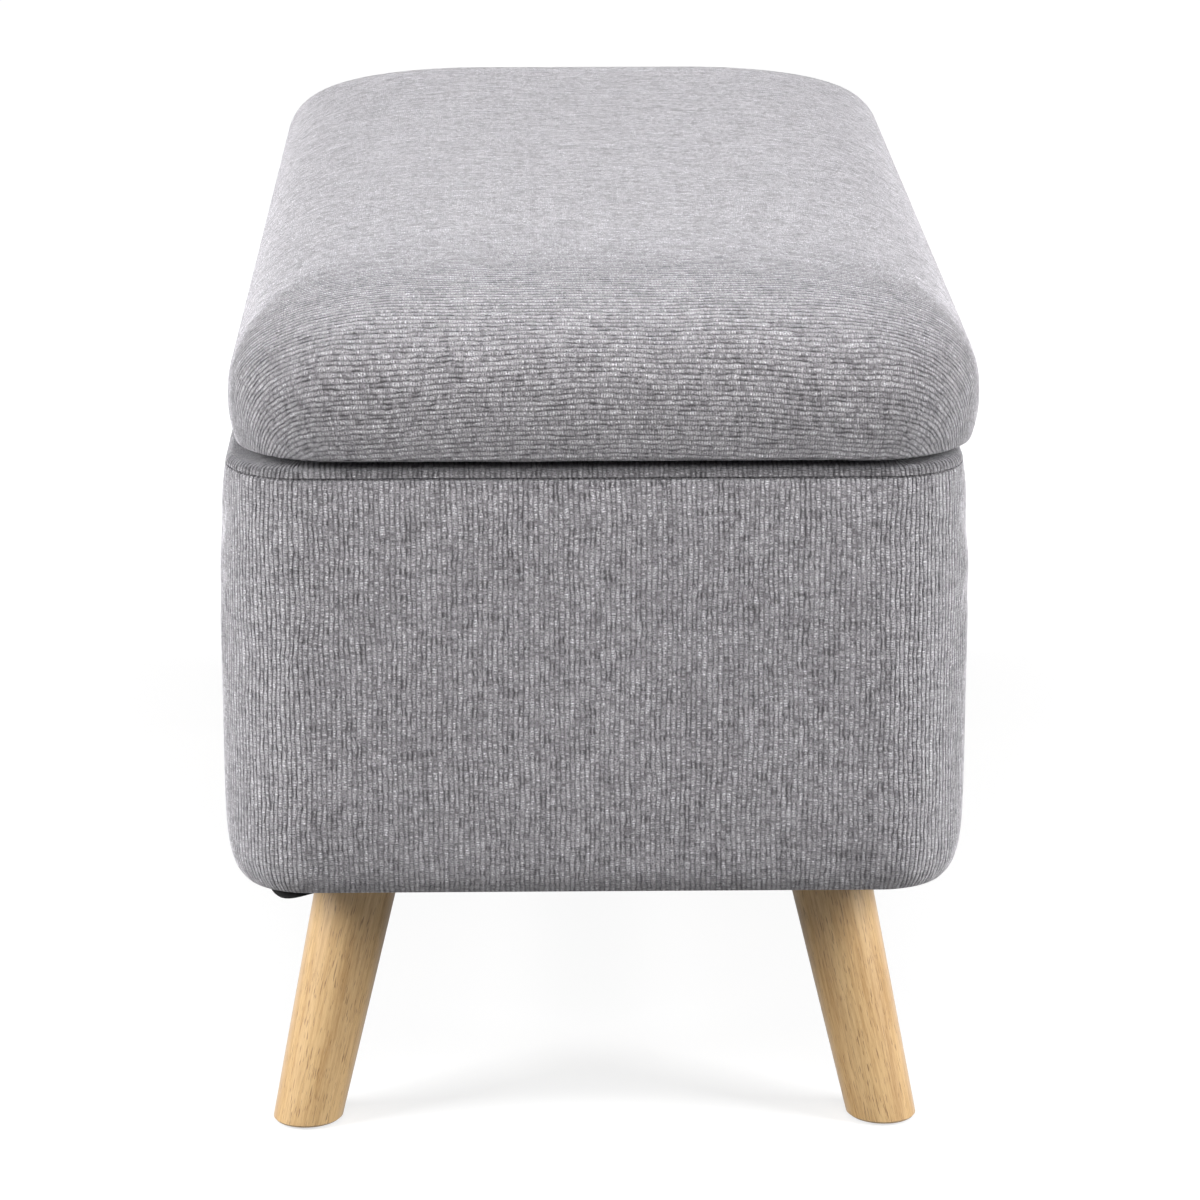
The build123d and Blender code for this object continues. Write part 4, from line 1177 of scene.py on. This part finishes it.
sawn, tree = material("sawn_softwood")
spot = object_place(tree)
colour, tall, roughness = use(
    tree, grain, Place=spot, Light=(0.72, 0.55, 0.35, 1), Dark=(0.55, 0.36, 0.18, 1),
    Pore=(0.4, 0.25, 0.12, 1), Pores=0.2,
)
saw_marks = maths("SINE", parts_of(spot)[2] * 3900.0)
dress("corner_blocks", finish(sawn, colour, roughness + 0.3, tall + saw_marks * 0.3, 0.5, 0.2 * mm))

# %% [markdown]
# ## Bonded cloth
# Lining and dust cover are bonded fibres, pressed with a fine grid of small dots. The fibres are
# noise stretched two ways, and the dots are the peaks of two cosines multiplied.

# %% Group: bonded fibres
bonded, given = effect("bonded fibres", Cloth="Vector", Fibre="Color", Dot="Color")
across, along, _ = (part * 1000.0 for part in parts_of(given["Cloth"]))
cloudy = patches(across, along, 0.04, 0.04, 8.0, 2.0)
fibres = most(patches(across, along, 0.5, 2.6, 0.0, 3.0), patches(across, along, 2.2, 0.45, 5.0, 3.0))
turn = 2 * math.pi / 1.6
dots = maths("COSINE", (across + along) * turn) * maths("COSINE", (across - along) * turn)
dots = span(dots, 0.35, 0.75)
colour = blend(span(fibres, 0.5, 0.75) * 0.8, given["Dot"], given["Fibre"])
colour = toned(blend(dots * 0.6, colour, given["Dot"]), span(cloudy, 0.3, 0.7, 0.85, 1.15))
give_out(bonded, colour, fibres - dots * 0.7, span(dots, 0.0, 1.0, 0.85, 0.6))


# %% Materials: lining and dust cloth
def bonded_cloth(name, fibre, dot):
    """Bonded cloth in two shades of one colour."""
    made, tree = material(name)
    colour, tall, roughness = use(tree, bonded, Cloth=cloth_place(tree), Fibre=fibre, Dot=dot)
    return finish(made, colour, roughness, tall, 0.8, 0.2 * mm, Specular_IOR_Level=0.3)


lining_cloth = bonded_cloth("lining_cloth", (0.17, 0.17, 0.18, 1), (0.07, 0.07, 0.075, 1))
for piece in (floor_sheet, wall_sheet, lid_sheet):
    piece.data.materials.append(lining_cloth)
dust_cloth = bonded_cloth("dust_cloth", (0.035, 0.035, 0.036, 1), (0.012, 0.012, 0.012, 1))
dust_sheet.data.materials.append(dust_cloth)

# %% [markdown]
# ## Foam
# Where the padding has no cloth over it, against the boards, it is bare foam: pale yellow, with
# small open cells. A Voronoi pattern gives the cells and their walls.

# %% Material: foam
foam, tree = material("foam")
spot = object_place(tree)
cells = add(tree, "TexVoronoi", {"Vector": spot, "Scale": 700.0}, out="Distance", feature="F1")
colour = blend(span(cells, 0.1, 0.6), (0.86, 0.81, 0.62, 1), (0.62, 0.56, 0.38, 1))
colour = blend(span(noise(spot, 60.0, 3.0), 0.4, 0.7) * 0.3, colour, (0.78, 0.7, 0.48, 1))
finish(foam, colour, 0.95, 1.0 - cells, 1.0, 0.5 * mm)
for piece in (lid_cushion, box_padding):
    piece.data.materials.append(foam)

# %% [markdown]
# ## Metal
# Hinges, stays, screws and bolts are zinc-plated steel: bright, slightly cloudy, with fine rolling
# lines and small dull spots. The leg plates are the same steel under black paint, which is cloudy
# in the same way.

# %% Group: handled metal
handled, given = effect(
    "handled metal", Place="Vector", Bright="Color", Dull="Color", Smooth="Float", Rough="Float"
)
cloud = noise(given["Place"], 90.0, 4.0, 0.6)
spots = noise(given["Place"], 800.0)
x, y, z = parts_of(given["Place"])
drawn = noise(place_of(x * 30.0, y * 900.0, z * 900.0), 1.0)
share = most(span(cloud, 0.4, 0.65), span(spots, 0.62, 0.7) * 0.7)
roughness = share * (given["Rough"] - given["Smooth"]) + given["Smooth"] + drawn * 0.12
give_out(handled, blend(share, given["Bright"], given["Dull"]), drawn * 0.5 + spots, roughness)


# %% Materials: zinc and black paint
def metal(name, bright, dull, low, high, metallic, depth):
    """A metal or painted metal finish."""
    made, tree = material(name)
    spot = object_place(tree)
    colour, tall, roughness = use(
        tree, handled, Place=spot, Bright=bright, Dull=dull, Smooth=low, Rough=high
    )
    return finish(made, colour, roughness, tall, 0.3, depth, Metallic=metallic)


zinc = metal("zinc_steel", (0.74, 0.75, 0.77, 1), (0.55, 0.56, 0.57, 1), 0.24, 0.42, 1.0, 0.04 * mm)
black = (0.02, 0.02, 0.02, 1)
black_paint = metal("black_paint", black, (0.035, 0.035, 0.036, 1), 0.35, 0.5, 0.0, 0.1 * mm)
for name in nodes:
    if name.startswith(("hinge_left", "hinge_right", "stay_left", "stay_right")) or name == "hanger_bolts":
        dress(name, zinc)
dress("leg_plates", black_paint)
for piece in (*screw_pieces, dust_staples, lid_staples):
    piece.data.materials.append(zinc)

# %% [markdown]
# ## Rubber and plastic
# The bumpers are black rubber with a little dust, and the glides are brown plastic, scuffed by the
# floor.


# %% Materials: bumper rubber and glide plastic
def moulded(name, plain, worn, roughness, scale):
    """A moulded finish with scuffs: noise chooses between two colours and moves the roughness."""
    made, tree = material(name)
    spot = object_place(tree)
    scuff = span(noise(spot, scale, 4.0, 0.65), 0.48, 0.68)
    tall = noise(spot, 1500.0) + scuff * 0.5
    return finish(made, blend(scuff * 0.7, plain, worn), scuff * 0.2 + roughness, tall, 0.4, 0.1 * mm)


rubber = moulded("bumper_rubber", (0.022, 0.022, 0.023, 1), (0.06, 0.058, 0.055, 1), 0.6, 240.0)
dress("lid_bumpers", rubber)
dress("leg_glides", moulded("glide_plastic", (0.11, 0.075, 0.05, 1), (0.2, 0.16, 0.12, 1), 0.5, 160.0))

# %% [markdown]
# ## Floor and light
# The floor is plain and pale. To the camera it is brightened to white by a glow that grows with the
# distance, so that only the bench's soft shadow is left on it. A large soft light hangs over the
# bench, one stands high before its end and two at its sides. The surroundings give light from above
# only, so that the gap under the lid stays dark.

# %% Floor
reach = 12.0
floor_points = reach * np.array([[[-1.0, -1, 0], [1, -1, 0]], [[-1, 1, 0], [1, 1, 0]]])
floor = grid_object("floor", floor_points, wrap_columns=False)
pale, tree = material("pale_floor")
seen = add(tree, "LightPath", out="Is Camera Ray")
distance = add(tree, "VectorMath", {0: object_place(tree)}, out="Value", operation="LENGTH")
glow = span(distance, 0.45, 1.4, 0.68, 0.9)
plain = blend(seen, (0.3, 0.3, 0.3, 1), (0.36, 0.36, 0.36, 1))
finish(pale, plain, 0.9, Emission_Strength=1.0, Specular_IOR_Level=0.0)
emission = tree.nodes["Principled BSDF"].inputs["Emission Color"]
connect(emission, blend(seen, (0, 0, 0, 1), place_of(glow, glow, glow)))
floor.data.materials.append(pale)


# %% Lights
def soft_light(name, place, width, length, watts):
    """A rectangular light at place that faces the middle of the bench."""
    data = bpy.data.lights.new(name, "AREA")
    data.shape = "RECTANGLE"
    data.size, data.size_y = width, length
    data.energy = watts
    placed(name, data, place, Vector((0, 0, 0.3)) - Vector(place))


soft_light("light_above", (0, 0, 2.4), 2.4, 2.0, 1)
soft_light("light_before", (-2.2, 0, 2.2), 1.6, 1.6, 15)
soft_light("light_left", (-0.85, 2.1, 1.3), 1.2, 1.2, 80)
soft_light("light_right", (-0.85, -2.1, 1.3), 1.2, 1.2, 78)

world = bpy.data.worlds.new("surroundings")
bpy.context.scene.world = world
world.use_nodes = True
tree = world.node_tree
background = tree.nodes["Background"].inputs
rays = [add(tree, "LightPath", out=f"Is {kind} Ray") for kind in ("Camera", "Glossy", "Transmission")]
upward = parts_of(add(tree, "TexCoord", out="Generated"))[2]
connect(background["Strength"], most(*rays, span(upward, 0.0, 0.8, 0.12, 0.28)))
background["Color"].default_value = (1, 1, 1, 1)
bpy.context.scene.view_settings.view_transform = "Standard"
